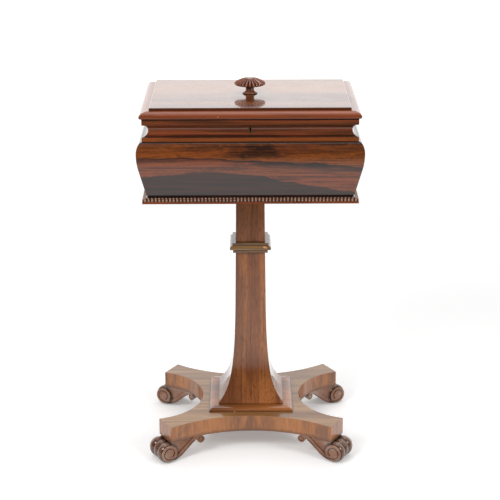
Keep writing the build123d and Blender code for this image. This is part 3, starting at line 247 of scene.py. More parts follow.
class TeapoyFinishes(bpy.types.PropertyGroup):
    """Colours of the woods, metals and cloth."""

    honey: colour("Honey", "Palest bands of the front wall's veneer", (0.330, 0.085, 0.012))
    russet: colour("Russet", "Red bands of the front wall's veneer", (0.310, 0.070, 0.021))
    umber: colour("Umber", "Darkest streaks of the rosewood", (0.013, 0.007, 0.006))
    tawny: colour("Tawny", "Palest tone of the chest's other faces", (0.190, 0.056, 0.017))
    brown: colour("Brown", "Middle tone of the chest's other faces", (0.095, 0.024, 0.008))
    faded: colour("Faded", "Palest tone of the sun-faded column", (0.480, 0.170, 0.046))
    autumn: colour("Autumn", "Middle tone of the sun-faded column", (0.320, 0.105, 0.030))
    sand: colour("Sand", "Palest tone of the sun-faded platform", (0.500, 0.270, 0.100))
    bark: colour("Bark", "Middle tone of the sun-faded platform", (0.350, 0.175, 0.064))
    dusk: colour("Dusk", "Purple-grey shadows in the platform's veneer", (0.120, 0.072, 0.062))
    ash: colour("Ash", "Greyed wood of the scroll feet", (0.520, 0.290, 0.190))
    # Painted shadow: the lock behind the escutcheon's hole is near-black so that the hole reads dark.
    keyhole_shadow: colour("Keyhole", "Lock seen through its keyhole", (0.035, 0.024, 0.012))
    rubbed: colour("Rubbed edge", "Wood where the polish is worn thin", (0.42, 0.22, 0.11))
    # Also the painted shade that ambient occlusion lays in corners and hollows.
    grime: colour("Grime", "Old polish and dust in the corners", (0.018, 0.010, 0.007))
    brass: colour("Brass", "Aged brass of the hinges and lock", (0.56, 0.38, 0.15))
    iron: colour("Iron", "Dull iron of the large screws", (0.20, 0.19, 0.18))
    velvet: colour("Velvet", "Cloth inside the lid", (0.16, 0.012, 0.022))
    deal: colour("Deal", "Plain pine of the hidden bottom", (0.42, 0.25, 0.12))
    glass: colour("Glass", "Tint of the mixing bowls", (0.93, 0.97, 0.95))


class TeapoyCarving(bpy.types.PropertyGroup):
    """Sizes of the carved and sewn work."""

    bead_pitch: length("Bead pitch", "Distance between carved beads under the chest", 0.0073)
    bead_radius: length("Bead radius", "Half width of one carved bead", 0.0031)
    knob_lobes: IntProperty(name="Knob lobes", description="Lobes round the lid's knob", default=24, min=8)
    lobe_depth: length("Lobe depth", "Depth of the hollows between the knob's lobes", 0.0032)
    screw_slot: length("Screw slot", "Width of the slot in a screw's head", 0.0007)
    tuft_pitch: length("Tuft pitch", "Distance between the buttons of the lid's cloth", 0.054)
    button_radius: length("Button radius", "Radius of the cloth buttons in the lid", 0.0032)
    velvet_puff: length("Velvet puff", "How far the lid's cloth stands out between its buttons", 0.0032)


class TeapoyStage(bpy.types.PropertyGroup):
    """The floor and camera."""

    floor_tone: colour("Floor", "Colour of the studio floor", (0.95, 0.95, 0.95))
    floor_bounce: colour("Floor bounce", "Colour of the light that the floor throws back", (0.52, 0.52, 0.52))
    floor_glow: FloatProperty(
        name="Floor glow", description="Light the pale floor shows by itself", default=0.25
    )
    camera_lens: FloatProperty(
        name="Lens", description="Focal length of the camera", default=103.7, unit="CAMERA"
    )


# ---------------------------------------------------------------- node helpers


class Graph:
    """Adds shader nodes to one node tree and links them."""

    def __init__(self, tree):
        self.tree = tree

    def feed(self, socket, value):
        """Links a socket to another, or sets it to a plain value."""
        if isinstance(value, bpy.types.NodeSocket):
            self.tree.links.new(value, socket)
        elif value is not None:
            socket.default_value = value

    def fill(self, sockets, values):
        for key, value in values.items():
            self.feed(sockets[key], value)

    def add(self, kind, inputs=None, **settings):
        node = self.tree.nodes.new(kind)
        for key, value in settings.items():
            setattr(node, key, value)
        self.fill(node.inputs, inputs or {})
        return node

    def group(self, name, inputs):
        return self.add("ShaderNodeGroup", inputs, node_tree=bpy.data.node_groups[name]).outputs

    def math(self, operation, a, b=None):
        return self.add("ShaderNodeMath", {0: a, 1: b}, operation=operation).outputs[0]

    def plus(self, a, b):
        return self.math("ADD", a, b)

    def minus(self, a, b):
        return self.math("SUBTRACT", a, b)

    def times(self, value, *others):
        for other in others:
            value = self.math("MULTIPLY", value, other)
        return value

    def most(self, value, *others):
        for other in others:
            value = self.math("MAXIMUM", value, other)
        return value

    def absolute(self, value):
        return self.math("ABSOLUTE", value)

    def vector(self, operation, a, b=None):
        node = self.add("ShaderNodeVectorMath", {0: a, 1: b}, operation=operation)
        return node.outputs["Value" if operation in ("DOT_PRODUCT", "LENGTH") else "Vector"]

    def mix(self, factor, a, b):
        return self.add("ShaderNodeMix", {0: factor, 6: a, 7: b}, data_type="RGBA").outputs[2]

    def lerp(self, factor, a, b):
        return self.add("ShaderNodeMix", {0: factor, 2: a, 3: b}, data_type="FLOAT").outputs[0]

    def layers(self, tone, *coats):
        """Lays colours over a tone in turn, each given as (share, colour)."""
        for share, coat in coats:
            tone = self.mix(share, tone, coat)
        return tone

    def span(self, value, low, high, out_low=0.0, out_high=1.0, kind="SMOOTHSTEP"):
        """Maps the stretch from low to high onto the one from out_low to out_high."""
        places = {"Value": value, "From Min": low, "From Max": high, "To Min": out_low, "To Max": out_high}
        return self.add("ShaderNodeMapRange", places, interpolation_type=kind).outputs["Result"]

    def near(self, value, centre, far, close, strength=1.0):
        """A mask round a place, from nothing at the far distance to its full strength at the close one."""
        return self.span(self.absolute(self.minus(value, centre)), far, close, 0.0, strength)

    def stray(self, value, noise, reach):
        """A value that wanders with a noise, by up to a reach either way."""
        return self.plus(value, self.span(noise, 0.2, 0.8, -reach, reach, kind="LINEAR"))

    def noise(self, vector, scale, detail=3.0, roughness=0.5, distortion=0.0, output="Fac"):
        values = {"Vector": vector, "Scale": scale, "Detail": detail, "Roughness": roughness}
        return self.add("ShaderNodeTexNoise", values | {"Distortion": distortion}).outputs[output]

    def grain(self, vector, stretch, *noise):
        """Noise drawn out along X, or along each axis by its own share."""
        shares = stretch if isinstance(stretch, tuple) else (stretch, 1.0, 1.0)
        return self.noise(self.vector("MULTIPLY", vector, shares), *noise)

    def curve(self, value, points):
        node = self.add("ShaderNodeFloatCurve", {"Value": value})
        line = node.mapping.curves[0]
        while len(line.points) < len(points):
            line.points.new(0.5, 0.5)
        for point, spot in zip(line.points, points):
            point.location = spot
        node.mapping.update()
        return node.outputs["Value"]

    def place(self, vector, location, rotation=(0, 0, 0)):
        values = {"Vector": vector, "Location": location, "Rotation": rotation}
        return self.add("ShaderNodeMapping", values).outputs["Vector"]

    def split(self, vector):
        return self.add("ShaderNodeSeparateXYZ", {"Vector": vector}).outputs

    def join(self, x, y, z):
        return self.add("ShaderNodeCombineXYZ", {"X": x, "Y": y, "Z": z}).outputs["Vector"]

    def facing(self):
        return self.add("ShaderNodeNewGeometry").outputs["Normal"]

    def bump(self, height, strength, distance, normal=None):
        values = {"Height": height, "Strength": strength, "Distance": distance, "Normal": normal}
        return self.add("ShaderNodeBump", values).outputs["Normal"]


# ---------------------------------------------------------------- shared effects


def new_group(name, inputs, outputs):
    """An empty shader group: its Graph, and the sockets to read from and write to."""
    tree = bpy.data.node_groups.new(name, "ShaderNodeTree")
    for label, default in inputs.items():
        kind = {tuple: COLOUR, float: NUMBER}.get(type(default), VECTOR)
        socket = tree.interface.new_socket(label, in_out="INPUT", socket_type=kind)
        if default is not None:
            socket.default_value = default
    for label, kind in outputs.items():
        tree.interface.new_socket(label, in_out="OUTPUT", socket_type=kind)
    graph = Graph(tree)
    return graph, graph.add("NodeGroupInput").outputs, graph.add("NodeGroupOutput").inputs


def put_out_figure(g, source, sink, tone, lines, pits):
    """Adds fine lines and open pores to a figure, and puts it out with its sheen and relief."""
    fine = g.grain(source["Vector"], 0.012, 800.0, 2.0, 0.6)
    pores = g.span(g.grain(source["Vector"], 0.05, 1700.0, 1.0), 0.62, 0.72)
    tone = g.layers(
        tone,
        (g.times(g.span(fine, 0.42, 0.78), lines), source["Dark"]),
        (g.times(pores, pits), source["Dark"]),
    )
    g.fill(sink, {"Color": tone, "Sheen": fine, "Relief": g.minus(g.times(fine, 0.3), pores)})


def rosewood_figure():
    """Rosewood with its grain along X: growth rings with a sharp edge, dark zones and fine streaks."""
    g, source, sink = new_group("Rosewood Figure", FIGURE_TONES | FIGURE_NUMBERS, FIGURE_RESULTS)
    here = source["Vector"]
    dark = source["Dark"]
    # The rings lie along X and sway a little; each darkens slowly up to a sharp edge.
    along = g.vector("MULTIPLY", here, (0.06, 1.0, 1.0))
    sway = g.vector("SUBTRACT", g.noise(along, 7.0, 2.0, 0.5, output="Color"), (0.5, 0.5, 0.5))
    swayed = g.vector("ADD", along, g.vector("MULTIPLY", sway, (0.0, 0.05, 0.05)))
    field = g.noise(swayed, source["Ring Size"], 2.0, 0.5, 0.2)
    ring = g.math("FRACT", g.times(field, source["Rings"]))
    edge = g.times(g.span(ring, 0.30, 0.95), g.span(ring, 1.0, 0.955))
    # Broad dark zones lie elsewhere than the rings do.
    zones = g.noise(g.vector("ADD", swayed, (3.1, 1.7, 2.3)), g.times(source["Ring Size"], 0.6), 2.0)
    share = g.times(source["Dark Share"], 0.28)
    zone = g.span(zones, g.minus(0.66, share), g.minus(0.74, share))
    streak = g.grain(here, 0.018, 190.0, 3.0, 0.62)
    tone = g.layers(
        source["Pale"],
        (g.span(field, 0.38, 0.62), source["Middle"]),
        (g.times(g.span(streak, 0.46, 0.74), source["Streaks"]), dark),
        (g.times(edge, source["Ring Strength"]), dark),
        (g.times(zone, 0.85), dark),
    )
    put_out_figure(g, source, sink, tone, source["Fineness"], source["Fineness"])


def front_figure():
    """The front wall's veneer: honey above, russet across the middle and near-black below."""
    g, source, sink = new_group("Front Wall Figure", FIGURE_TONES, FIGURE_RESULTS)
    here = source["Vector"]
    pale, middle, dark = source["Pale"], source["Middle"], source["Dark"]
    parts = g.split(here)
    place = g.span(parts["X"], -WALL_HALF_LENGTH, WALL_HALF_LENGTH, kind="LINEAR")
    depth = g.span(parts["Z"], WALL_TOP, WALL_TOP - WALL_RISE, kind="LINEAR")
    depth = g.stray(depth, g.grain(here, 0.30, 34.0, 3.0, 0.55), 0.05)
    depth = g.stray(depth, g.grain(here, 0.16, 170.0, 3.0, 0.6), 0.022)
    streak = g.grain(here, 0.035, 150.0, 4.0, 0.64)
    drift = g.grain(here, 0.12, 44.0, 3.0, 0.55)
    cloud = g.grain(here, 0.45, 38.0, 4.0, 0.6)
    fleck = g.grain(here, 0.20, 420.0, 3.0, 0.7)
    glint = g.grain(here, 0.35, 210.0, 4.0, 0.7)

    # Smoke hangs from the top edge, deepest at its place, and trails off to the right.
    spread = g.stray(place, cloud, 0.09)
    hang = g.stray(depth, cloud, -0.06)
    smoke = g.times(g.near(spread, SMOKE_PLACE, 0.17, 0.05), g.span(hang, 0.32, 0.18))
    trail = g.times(g.span(spread, 0.55, 0.68), g.span(hang, 0.22, 0.10, 0.0, 0.40))
    rim = g.span(hang, 0.15, 0.04, 0.0, 0.65)
    honey = g.layers(
        pale,
        (g.span(drift, 0.40, 0.66), g.mix(0.6, pale, middle)),
        (g.span(streak, 0.42, 0.66, 0.0, 0.62), dark),
        (g.times(g.most(smoke, trail, rim), g.span(streak, 0.30, 0.60, 0.6, 1.0)), dark),
        (g.span(fleck, 0.45, 0.68, 0.0, 0.45), dark),
        (g.span(glint, 0.55, 0.70, 0.0, 0.6), pale),
    )
    russet = g.layers(
        middle,
        (g.span(drift, 0.40, 0.62), g.mix(0.30, middle, pale)),
        (g.span(streak, 0.40, 0.66, 0.0, 0.80), dark),
        (g.span(fleck, 0.48, 0.70, 0.0, 0.30), dark),
    )
    ground = g.layers(
        g.mix(0.13, dark, middle),
        (g.span(streak, 0.36, 0.70), dark),
        (g.span(depth, 0.60, 0.48, 0.0, 0.35), russet),
    )
    russet = g.mix(g.span(glint, 0.52, 0.68, 0.0, 0.5), russet, g.mix(0.45, middle, pale))

    # A dark line parts the honey from the bands below it.
    below_honey = g.minus(depth, g.curve(place, HONEY_EDGE))
    line = g.times(g.span(below_honey, -0.006, 0.012), g.span(below_honey, 0.075, 0.012), 0.82)
    in_russet = g.times(
        g.span(g.minus(depth, g.curve(place, RUSSET_TOP)), -0.035, 0.03),
        g.span(g.minus(depth, g.curve(place, RUSSET_END)), 0.012, -0.010),
    )
    tone = g.layers(
        ground, (in_russet, russet), (g.span(below_honey, 0.010, -0.012), honey), (line, dark)
    )
    put_out_figure(g, source, sink, tone, 0.42, 0.4)


def veneered_faces():
    """Turns places on upright faces so that the grain runs up them; flat tops may keep theirs."""
    g, source, sink = new_group("Veneered Faces", {"Vector": None, "Flat Tops": 0.0}, {"Vector": VECTOR})
    parts = g.split(source["Vector"])
    facing = g.split(g.facing())
    front = g.span(g.minus(g.absolute(facing["Y"]), g.absolute(facing["X"])), -0.02, 0.02)
    across = g.lerp(front, g.plus(parts["Y"], 0.4), parts["X"])
    upright = g.join(parts["Z"], across, g.times(front, 0.3))
    top = g.times(g.span(g.absolute(facing["Z"]), *FLAT_TOP), source["Flat Tops"])
    g.fill(sink, {"Vector": g.mix(top, upright, source["Vector"])})


def old_surface():
    """Use and age: rubbed edges, old polish and dust with painted shade in the corners, and a faint patchy
    haze.
    """
    tones = {
        "Vector": None,
        "Color": (0.2, 0.1, 0.05, 1),
        "Rubbed": (0.4, 0.2, 0.1, 1),
        "Grime": (0.02, 0.01, 0.01, 1),
    }
    numbers = {"Edge Width": 0.0012, "Edge Wear": 0.5, "Corner Reach": 0.006, "Corner Grime": 0.6}
    results = {"Color": COLOUR, "Dull": NUMBER, "Normal": VECTOR}
    g, source, sink = new_group("Old Surface", tones | numbers, results)
    here = source["Vector"]
    width = {"Radius": source["Edge Width"]}
    soft = g.add("ShaderNodeBevel", width, samples=EFFECT_SAMPLES).outputs["Normal"]
    edge = g.span(g.vector("DOT_PRODUCT", soft, g.facing()), 0.985, 0.86)
    worn = g.times(edge, g.span(g.noise(here, 55.0, 4.0, 0.65), 0.36, 0.66), source["Edge Wear"])
    # Ambient occlusion darkens corners and hollows: partly old polish and dust, partly painted shade.
    reach = {"Distance": source["Corner Reach"]}
    open_air = g.add("ShaderNodeAmbientOcclusion", reach, samples=EFFECT_SAMPLES).outputs["AO"]
    corner_dust_and_shade = g.times(g.span(open_air, 0.85, 0.35), source["Corner Grime"])
    haze = g.span(g.noise(here, 18.0, 4.0, 0.6), 0.3, 0.8, 0.0, 0.10)
    tone = g.layers(source["Color"], (worn, source["Rubbed"]), (corner_dust_and_shade, source["Grime"]))
    g.fill(sink, {"Color": tone, "Dull": g.plus(g.times(worn, 0.2), haze), "Normal": soft})


# ---------------------------------------------------------------- materials


def new_material(name):
    """A material, its Graph, its shader's inputs and the place on the object."""
    material = bpy.data.materials.new(name)
    material.use_nodes = True
    graph = Graph(material.node_tree)
    here = graph.add("ShaderNodeTexCoord").outputs["Object"]
    return material, graph, material.node_tree.nodes["Principled BSDF"].inputs, here


def tint(tone, strength=1.0):
    return (*(min(1.0, part * strength) for part in tone), 1.0)


def stain(name, strength=1.0):
    """One of the finishes' colours, made lighter or darker."""
    return tint(getattr(bpy.context.scene.teapoy_finishes, name), strength)


def dress(names, material):
    for name in names:
        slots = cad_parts[name].data.materials
        slots.clear()
        slots.append(material)


def aged(g, here, tone, rubbed, edge, wear, reach, grime):
    """The aged surface group over a colour, with its painted shade in the corners."""
    inputs = {"Vector": here, "Color": tone, "Rubbed": rubbed, "Grime": stain("grime")}
    inputs |= {"Edge Width": edge, "Edge Wear": wear, "Corner Reach": reach, "Corner Grime": grime}
    return g.group("Old Surface", inputs)


def rosewood(name, grain="x", paired=False, fineness=0.4, paint=None, coat=1.0, rough=0.24, wear=0.45,
             grime=0.7, reach=0.006, edge=0.0011, gloss=0.07):
    """French-polished rosewood of the woods' table, its grain along an axis or up the faces."""
    woods, origin, numbers = WOODS[name]
    mark = f" {grain.upper()}" if paired else ""
    material, g, shader, here = new_material(f"Rosewood {name}{mark}")
    if grain in TURNS:
        spot = g.place(here, origin, TURNS[grain])
    else:
        veneer = g.group("Veneered Faces", {"Vector": here, "Flat Tops": float(grain == "tops")})
        spot = g.place(veneer["Vector"], origin)
    inputs = dict(zip(FIGURE_TONES, (spot, *(stain(wood) for wood in woods))))
    if numbers:
        figure = g.group("Rosewood Figure", inputs | dict(zip(FIGURE_NUMBERS, (*numbers, fineness))))
    else:
        figure = g.group("Front Wall Figure", inputs)
    tone = paint(g, here, figure["Color"]) if paint else figure["Color"]
    surface = aged(g, here, tone, stain("rubbed"), edge, wear, reach, grime)
    dull = g.plus(g.times(figure["Sheen"], 0.10), surface["Dull"])
    g.fill(shader, {
        "Base Color": surface["Color"],
        "Roughness": g.plus(dull, rough),
        "Normal": g.bump(figure["Relief"], WOOD_RELIEF, PORE_DEPTH, surface["Normal"]),
        "Coat Weight": coat,
        "Coat Roughness": gloss,
        "Coat IOR": POLISH_IOR,
        "IOR": WOOD_IOR,
        "Specular IOR Level": WOOD_SPECULAR,
    })
    return material


def dress_pairs(part, wood, **finish):
    """Gives each side of a frame its wood, with the grain along the side."""
    for axis, pair in PAIRS:
        dress([f"{part}_{side}" for side in pair], rosewood(wood, axis, paired=True, **finish))


def metal(name, tone, strength, rough, blotch):
    """Old cast or rolled metal with darker, duller tarnish in patches and corners."""
    material, g, shader, here = new_material(name)
    patches = g.span(g.noise(here, 160.0, 5.0, 0.65), 0.35, 0.7)
    scratches = g.grain(here, 0.2, 2600.0, 2.0)
    clean = g.mix(g.times(patches, blotch), stain(tone, strength), stain(tone, strength * 0.42))
    bright = stain(tone, strength * 1.5)
    surface = aged(g, here, clean, bright, edge=0.0004, wear=0.8, reach=0.003, grime=0.7)
    g.fill(shader, {
        "Base Color": surface["Color"],
        "Roughness": g.plus(g.times(patches, 0.2), rough),
        "Normal": g.bump(scratches, 0.12, 0.0001, surface["Normal"]),
        "Metallic": 1.0,
    })
    return material


def clear_glass():
    """Thick blown glass with faint swirls and a little wear."""
    material, g, shader, here = new_material("Bowl Glass")
    swirl = g.grain(here, (1.0, 1.0, 0.25), 70.0, 2.0)
    wear = g.span(g.noise(here, 300.0, 4.0), 0.55, 0.8)
    g.fill(shader, {
        "Base Color": g.mix(wear, stain("glass"), stain("glass", 0.94)),
        "Roughness": g.times(wear, 0.12),
        "Normal": g.bump(swirl, 0.15, 0.0006),
        "Transmission Weight": 1.0,
        "IOR": GLASS_IOR,
    })
    return material


def plain_deal():
    """Planed pine without polish."""
    material, g, shader, here = new_material("Deal")
    grain = g.grain(here, 0.05, 90.0, 4.0, 0.6, 0.5)
    g.fill(shader, {
        "Base Color": g.mix(grain, stain("deal"), stain("deal", 0.55)),
        "Roughness": g.span(grain, 0.2, 0.8, 0.5, 0.8),
        "Normal": g.bump(grain, 0.2, 0.0004),
    })
    return material


def velvet_cloth(name, fold_height=None):
    """Cut-pile velvet with a patchy nap; on the pad it has painted shade in the folds and painted light where
    it swells.
    """
    material, g, shader, here = new_material(name)
    nap = g.noise(here, 90.0, 4.0, 0.6, 0.8)
    pile = g.noise(here, 2400.0, 2.0, 0.7)
    tone = g.mix(g.span(nap, 0.3, 0.7), stain("velvet", 0.85), stain("velvet", 1.2))
    tone = g.mix(g.span(pile, 0.35, 0.75, 0.0, 0.45), tone, stain("velvet", 0.35))
    if fold_height:
        swollen = g.minus(fold_height, g.split(here)["Z"])
        # Painted light on the swells and painted shade in the folds, set by height under the pad's level.
        tone = g.layers(
            tone,
            (g.span(swollen, 0.0012, 0.0028, 0.0, 0.6), stain("velvet", 2.0)),
            (g.span(swollen, 0.0016, 0.0003, 0.0, 0.85), stain("velvet", 0.2)),
        )
    g.fill(shader, {
        "Base Color": tone,
        "Roughness": g.span(pile, 0.2, 0.8, 0.8, 1.0),
        "Normal": g.bump(pile, 0.5, 0.0004),
        "Sheen Weight": 0.5,
        "Sheen Roughness": 0.4,
        "Sheen Tint": VELVET_SHEEN,
        "Specular IOR Level": 0.2,
    })
    return material


# ---------------------------------------------------------------- painted shades


def shade_column(g, here, tone):
    """The shaft is flecked, painted paler towards its top as painted light against the chest's shadow, and
    dark down its left edge, its middle and at the flare.
    """
    parts = g.split(here)
    across = g.stray(parts["X"], g.grain(here, (1.0, 1.0, 0.12), 30.0, 4.0, 0.6), 0.009)
    fleck = g.grain(here, (1.0, 1.0, 0.22), 260.0, 4.0, 0.7)
    shade = g.most(
        g.span(across, *COLUMN_LEFT, 0.0, 0.62),
        g.near(across, COLUMN_SEAM, 0.0026, 0.0005, 0.5),
        g.near(parts["Z"], COLUMN_FLARE, 0.05, 0.0, 0.4),
    )
    return g.layers(
        tone,
        # Painted light: the shaft grows paler towards its top, offsetting the shadow the chest casts there.
        (g.span(parts["Z"], *COLUMN_PAINTED_LIGHT, 0.0, 0.4), stain("faded", 1.2)),
        (g.span(fleck, 0.47, 0.68, 0.0, 0.5), stain("brown")),
        (shade, stain("brown")),
    )


def shade_feet(g, here, tone):
    """The drums between the scroll ends are painted dark, darkest in their grooves as painted shade."""
    parts = g.split(here)
    corner = g.join(g.absolute(parts["X"]), g.times(g.absolute(parts["Y"]), -1.0), parts["Z"])
    spot = g.vector("SUBTRACT", corner, DRUM_CENTRE)
    along = g.absolute(g.vector("DOT_PRODUCT", spot, DRUM_ACROSS))
    gap = g.math("POWER", g.vector("LENGTH", spot), 2.0)
    radius = g.math("SQRT", g.minus(gap, g.math("POWER", along, 2.0)))
    drum = g.times(g.span(radius, *DRUM_RADIUS), g.span(along, *DRUM_END))
    # Painted shade: the grooves of the drums are darkest.
    groove = g.most(g.near(along, DRUM_GROOVE, 0.0036, 0.0008), g.span(along, *DRUM_OUTER_GROOVE))
    return g.mix(g.times(drum, g.lerp(groove, 0.5, 0.8)), tone, stain("umber", 1.6))


def shade_knob(g, here, tone):
    """The grooves between the lobes of the dome are painted dark, as painted shade."""
    parts = g.split(here)
    height = g.minus(parts["Z"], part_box("knob")[0].z)
    radius = g.vector("LENGTH", g.join(parts["X"], parts["Y"], 0.0))
    lobes = bpy.context.scene.teapoy_carving.knob_lobes
    turn = g.times(g.math("ARCTAN2", parts["Y"], parts["X"]), lobes / 2)
    # Painted shade: the hollows between the lobes are darkened.
    groove = g.span(g.absolute(g.math("COSINE", turn)), 0.86, 0.34, 0.0, 0.9)
    dome = g.times(g.span(radius, *KNOB_CROWN), g.span(height, *KNOB_DOME_HEIGHT))
    return g.mix(g.times(groove, dome), tone, stain("umber"))


def shade_platform(g, here, tone):
    """The upright edges are redder and ribbed, with purple-grey painted shade at the ends, a dark middle and
    a dark brink.
    """
    upright = g.span(g.absolute(g.split(g.facing())["Z"]), *FLAT_TOP[::-1])
    parts = g.split(here)
    away = g.absolute(parts["X"])
    patch = g.grain(here, (1.0, 1.0, 0.3), 60.0, 4.0, 0.65)
    rib = g.grain(here, (1.0, 1.0, 0.15), 130.0, 5.0, 0.72)
    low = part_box("platform")[0].z
    brink = g.span(g.stray(parts["Z"], patch, 0.004), *(low + rise for rise in PLATFORM_BRINK), 0.0, 0.5)
    coats = (
        (0.75, stain("faded", 1.4)),
        (g.span(rib, 0.42, 0.68, 0.0, 0.36), stain("brown", 1.3)),
        # Painted shade: purple-grey at the ends, where the concave faces turn away.
        (g.times(g.span(away, *PLATFORM_ENDS), g.span(patch, 0.38, 0.62, 0.0, 0.6)), stain("dusk")),
        (g.times(g.span(away, *PLATFORM_MIDDLE), g.span(patch, 0.30, 0.60, 0.1, 0.5)), stain("umber", 2.0)),
        (brink, stain("umber", 2.0)),
    )
    return g.layers(tone, *((g.times(upright, share), coat) for share, coat in coats))


def shade_frieze(g, here, tone):
    """Painted shadow lies under the lid and painted shade in the hollow's bottom, a painted highlight lies on
    the fillet, and the chest's shoulder is dark.
    """
    height = g.stray(g.split(here)["Z"], g.grain(here, (0.3, 0.3, 1.0), 40.0, 3.0, 0.6), 0.0006)
    # Painted highlight: the fillet's lower sweep is paler, as if lit from overhead.
    fillet = g.times(g.span(height, *FRIEZE_FILLET), g.span(height, *FRIEZE_SHOULDER), 0.55)
    # Painted shade in the hollow's bottom and painted shadow under the lid; the shoulder is darker too.
    dark = g.most(
        g.near(height, FRIEZE_HOLLOW, 0.0026, 0.0010, 0.8),
        g.span(height, *FRIEZE_SHOULDER[::-1], 0.0, 0.9),
        g.span(height, *LID_SHADOW, 0.0, 0.9),
    )
    return g.layers(tone, (fillet, stain("honey", 1.05)), (dark, stain("umber")))


def shade_wall(g, here, tone):
    """The shoulder's top edge is dark, with a few small chips."""
    rim = g.span(g.split(here)["Z"], *WALL_RIM, 0.0, 0.85)
    return chipped(WALL_CHIPS)(g, here, g.mix(rim, tone, stain("umber")))


def shade_bead_bed(g, here, tone):
    """The hollow behind the carved beads is painted dark, as painted shade."""
    low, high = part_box("bead_front")
    fillet = low.z + (high.z - low.z) * BEAD_FILLET_SHARE
    height = g.split(here)["Z"]
    # Painted shade in the hollow over the fillet.
    above = g.span(height, fillet - BEAD_FILLET_BLUR, fillet + BEAD_FILLET_BLUR, 0.0, 0.85)
    return g.mix(above, tone, stain("grime"))


def chipped(spots):
    """A paint step that shows pale bare wood at small chips, given as (place, radius)."""

    def paint(g, here, tone):
        rough = g.noise(here, 420.0, 2.0)
        for place, radius in spots:
            gap = g.vector("LENGTH", g.vector("SUBTRACT", here, place))
            ragged = g.plus(gap, g.times(rough, radius))
            tone = g.mix(g.span(ragged, radius * 1.5, radius * 1.2), tone, stain("rubbed", 2.0))
        return tone

    return paint


# ---------------------------------------------------------------- mesh helpers


def new_object(name, data):
    piece = bpy.data.objects.new(name, data)
    bpy.context.scene.collection.objects.link(piece)
    return piece


def mesh_object(work, name):
    """Closes a bmesh into an object of the scene."""
    mesh = bpy.data.meshes.new(name)
    work.to_mesh(mesh)
    work.free()
    return new_object(name, mesh)


def soften(mesh, angle):
    mesh.shade_smooth()
    mesh.set_sharp_from_angle(angle=math.radians(angle))


def finished(work, name, body, material, angle):
    """Closes a bmesh into an object that rides on a body, sharp only past an angle in degrees."""
    bmesh.ops.remove_doubles(work, verts=work.verts, dist=MERGE_DISTANCE)
    bmesh.ops.recalc_face_normals(work, faces=work.faces)
    piece = mesh_object(work, name)
    piece.data.materials.append(material)
    soften(piece.data, angle)
    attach(piece, body)
    return piece


def lattice(low, high, pitch):
    """How many rows and columns of buttons a box holds."""
    size = high - low
    return round(size.y / pitch * TUFT_SQUASH), round(size.x / pitch)


def tufts(low, high, pitch):
    """Button places on a staggered lattice that fills a box seen from below."""
    centre = (low + high) / 2
    size = high - low
    rows, columns = lattice(low, high, pitch)
    places = []
    for row in range(1, rows):
        for column in range(1, columns + row % 2):
            across = (column - 0.5 * (row % 2)) / columns - 0.5
            places.append(Vector((centre.x + size.x * across, low.y + size.y * row / rows, 0.0)))
    return places


def swell(piece, held, puff):
    """Lets cloth swell between its held points and keeps the result, scaled to the puff's height."""
    piece.vertex_groups.new(name="held").add(held, 1.0, "REPLACE")
    cloth = piece.modifiers.new("cloth", "CLOTH")
    cloth.settings.vertex_group_mass = "held"
    for key, value in CLOTH.items():
        setattr(cloth.settings, key, value)
    cloth.settings.effector_weights.gravity = 0.0
    cloth.point_cache.frame_start = 1
    cloth.point_cache.frame_end = CLOTH_TICKS
    for tick in range(1, CLOTH_TICKS + 1):
        bpy.context.scene.frame_set(tick)
    swollen = piece.evaluated_get(bpy.context.evaluated_depsgraph_get())
    places = [vert.co.copy() for vert in swollen.to_mesh().vertices]
    swollen.to_mesh_clear()
    piece.modifiers.remove(cloth)
    piece.vertex_groups.clear()
    bpy.context.scene.frame_set(1)
    deepest = max(vert.co.z - place.z for vert, place in zip(piece.data.vertices, places))
    for vert, place in zip(piece.data.vertices, places):
        drop = max(0.0, vert.co.z - place.z) * puff / deepest
        vert.co = (place.x, place.y, vert.co.z - drop)


def pleat(mesh, low, high, pitch, level):
    """Draws the cloth up again along the straight folds from button to button."""
    size = high - low
    rows, columns = lattice(low, high, pitch)
    for vert in mesh.vertices:
        across = (vert.co.x - low.x) / size.x * columns
        up = (vert.co.y - low.y) / size.y * rows / 2
        fold = min(abs(line - round(line)) for line in (across + up, across - up))
        share = PLEAT_DEPTH * math.exp(-((fold / PLEAT_WIDTH) ** 2))
        vert.co.z += (level - vert.co.z) * share


def islands(node):
    """The points of each separate solid in a node."""
    work = bmesh.new()
    work.from_mesh(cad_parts[node].data)
    bmesh.ops.remove_doubles(work, verts=work.verts, dist=MERGE_DISTANCE)
    waiting = set(work.verts)
    found = []
    while waiting:
        island = [waiting.pop()]
        for vert in island:
            for edge in vert.link_edges:
                other = edge.other_vert(vert)
                if other in waiting:
                    waiting.discard(other)
                    island.append(other)
        found.append([vert.co.copy() for vert in island])
    work.free()
    return found


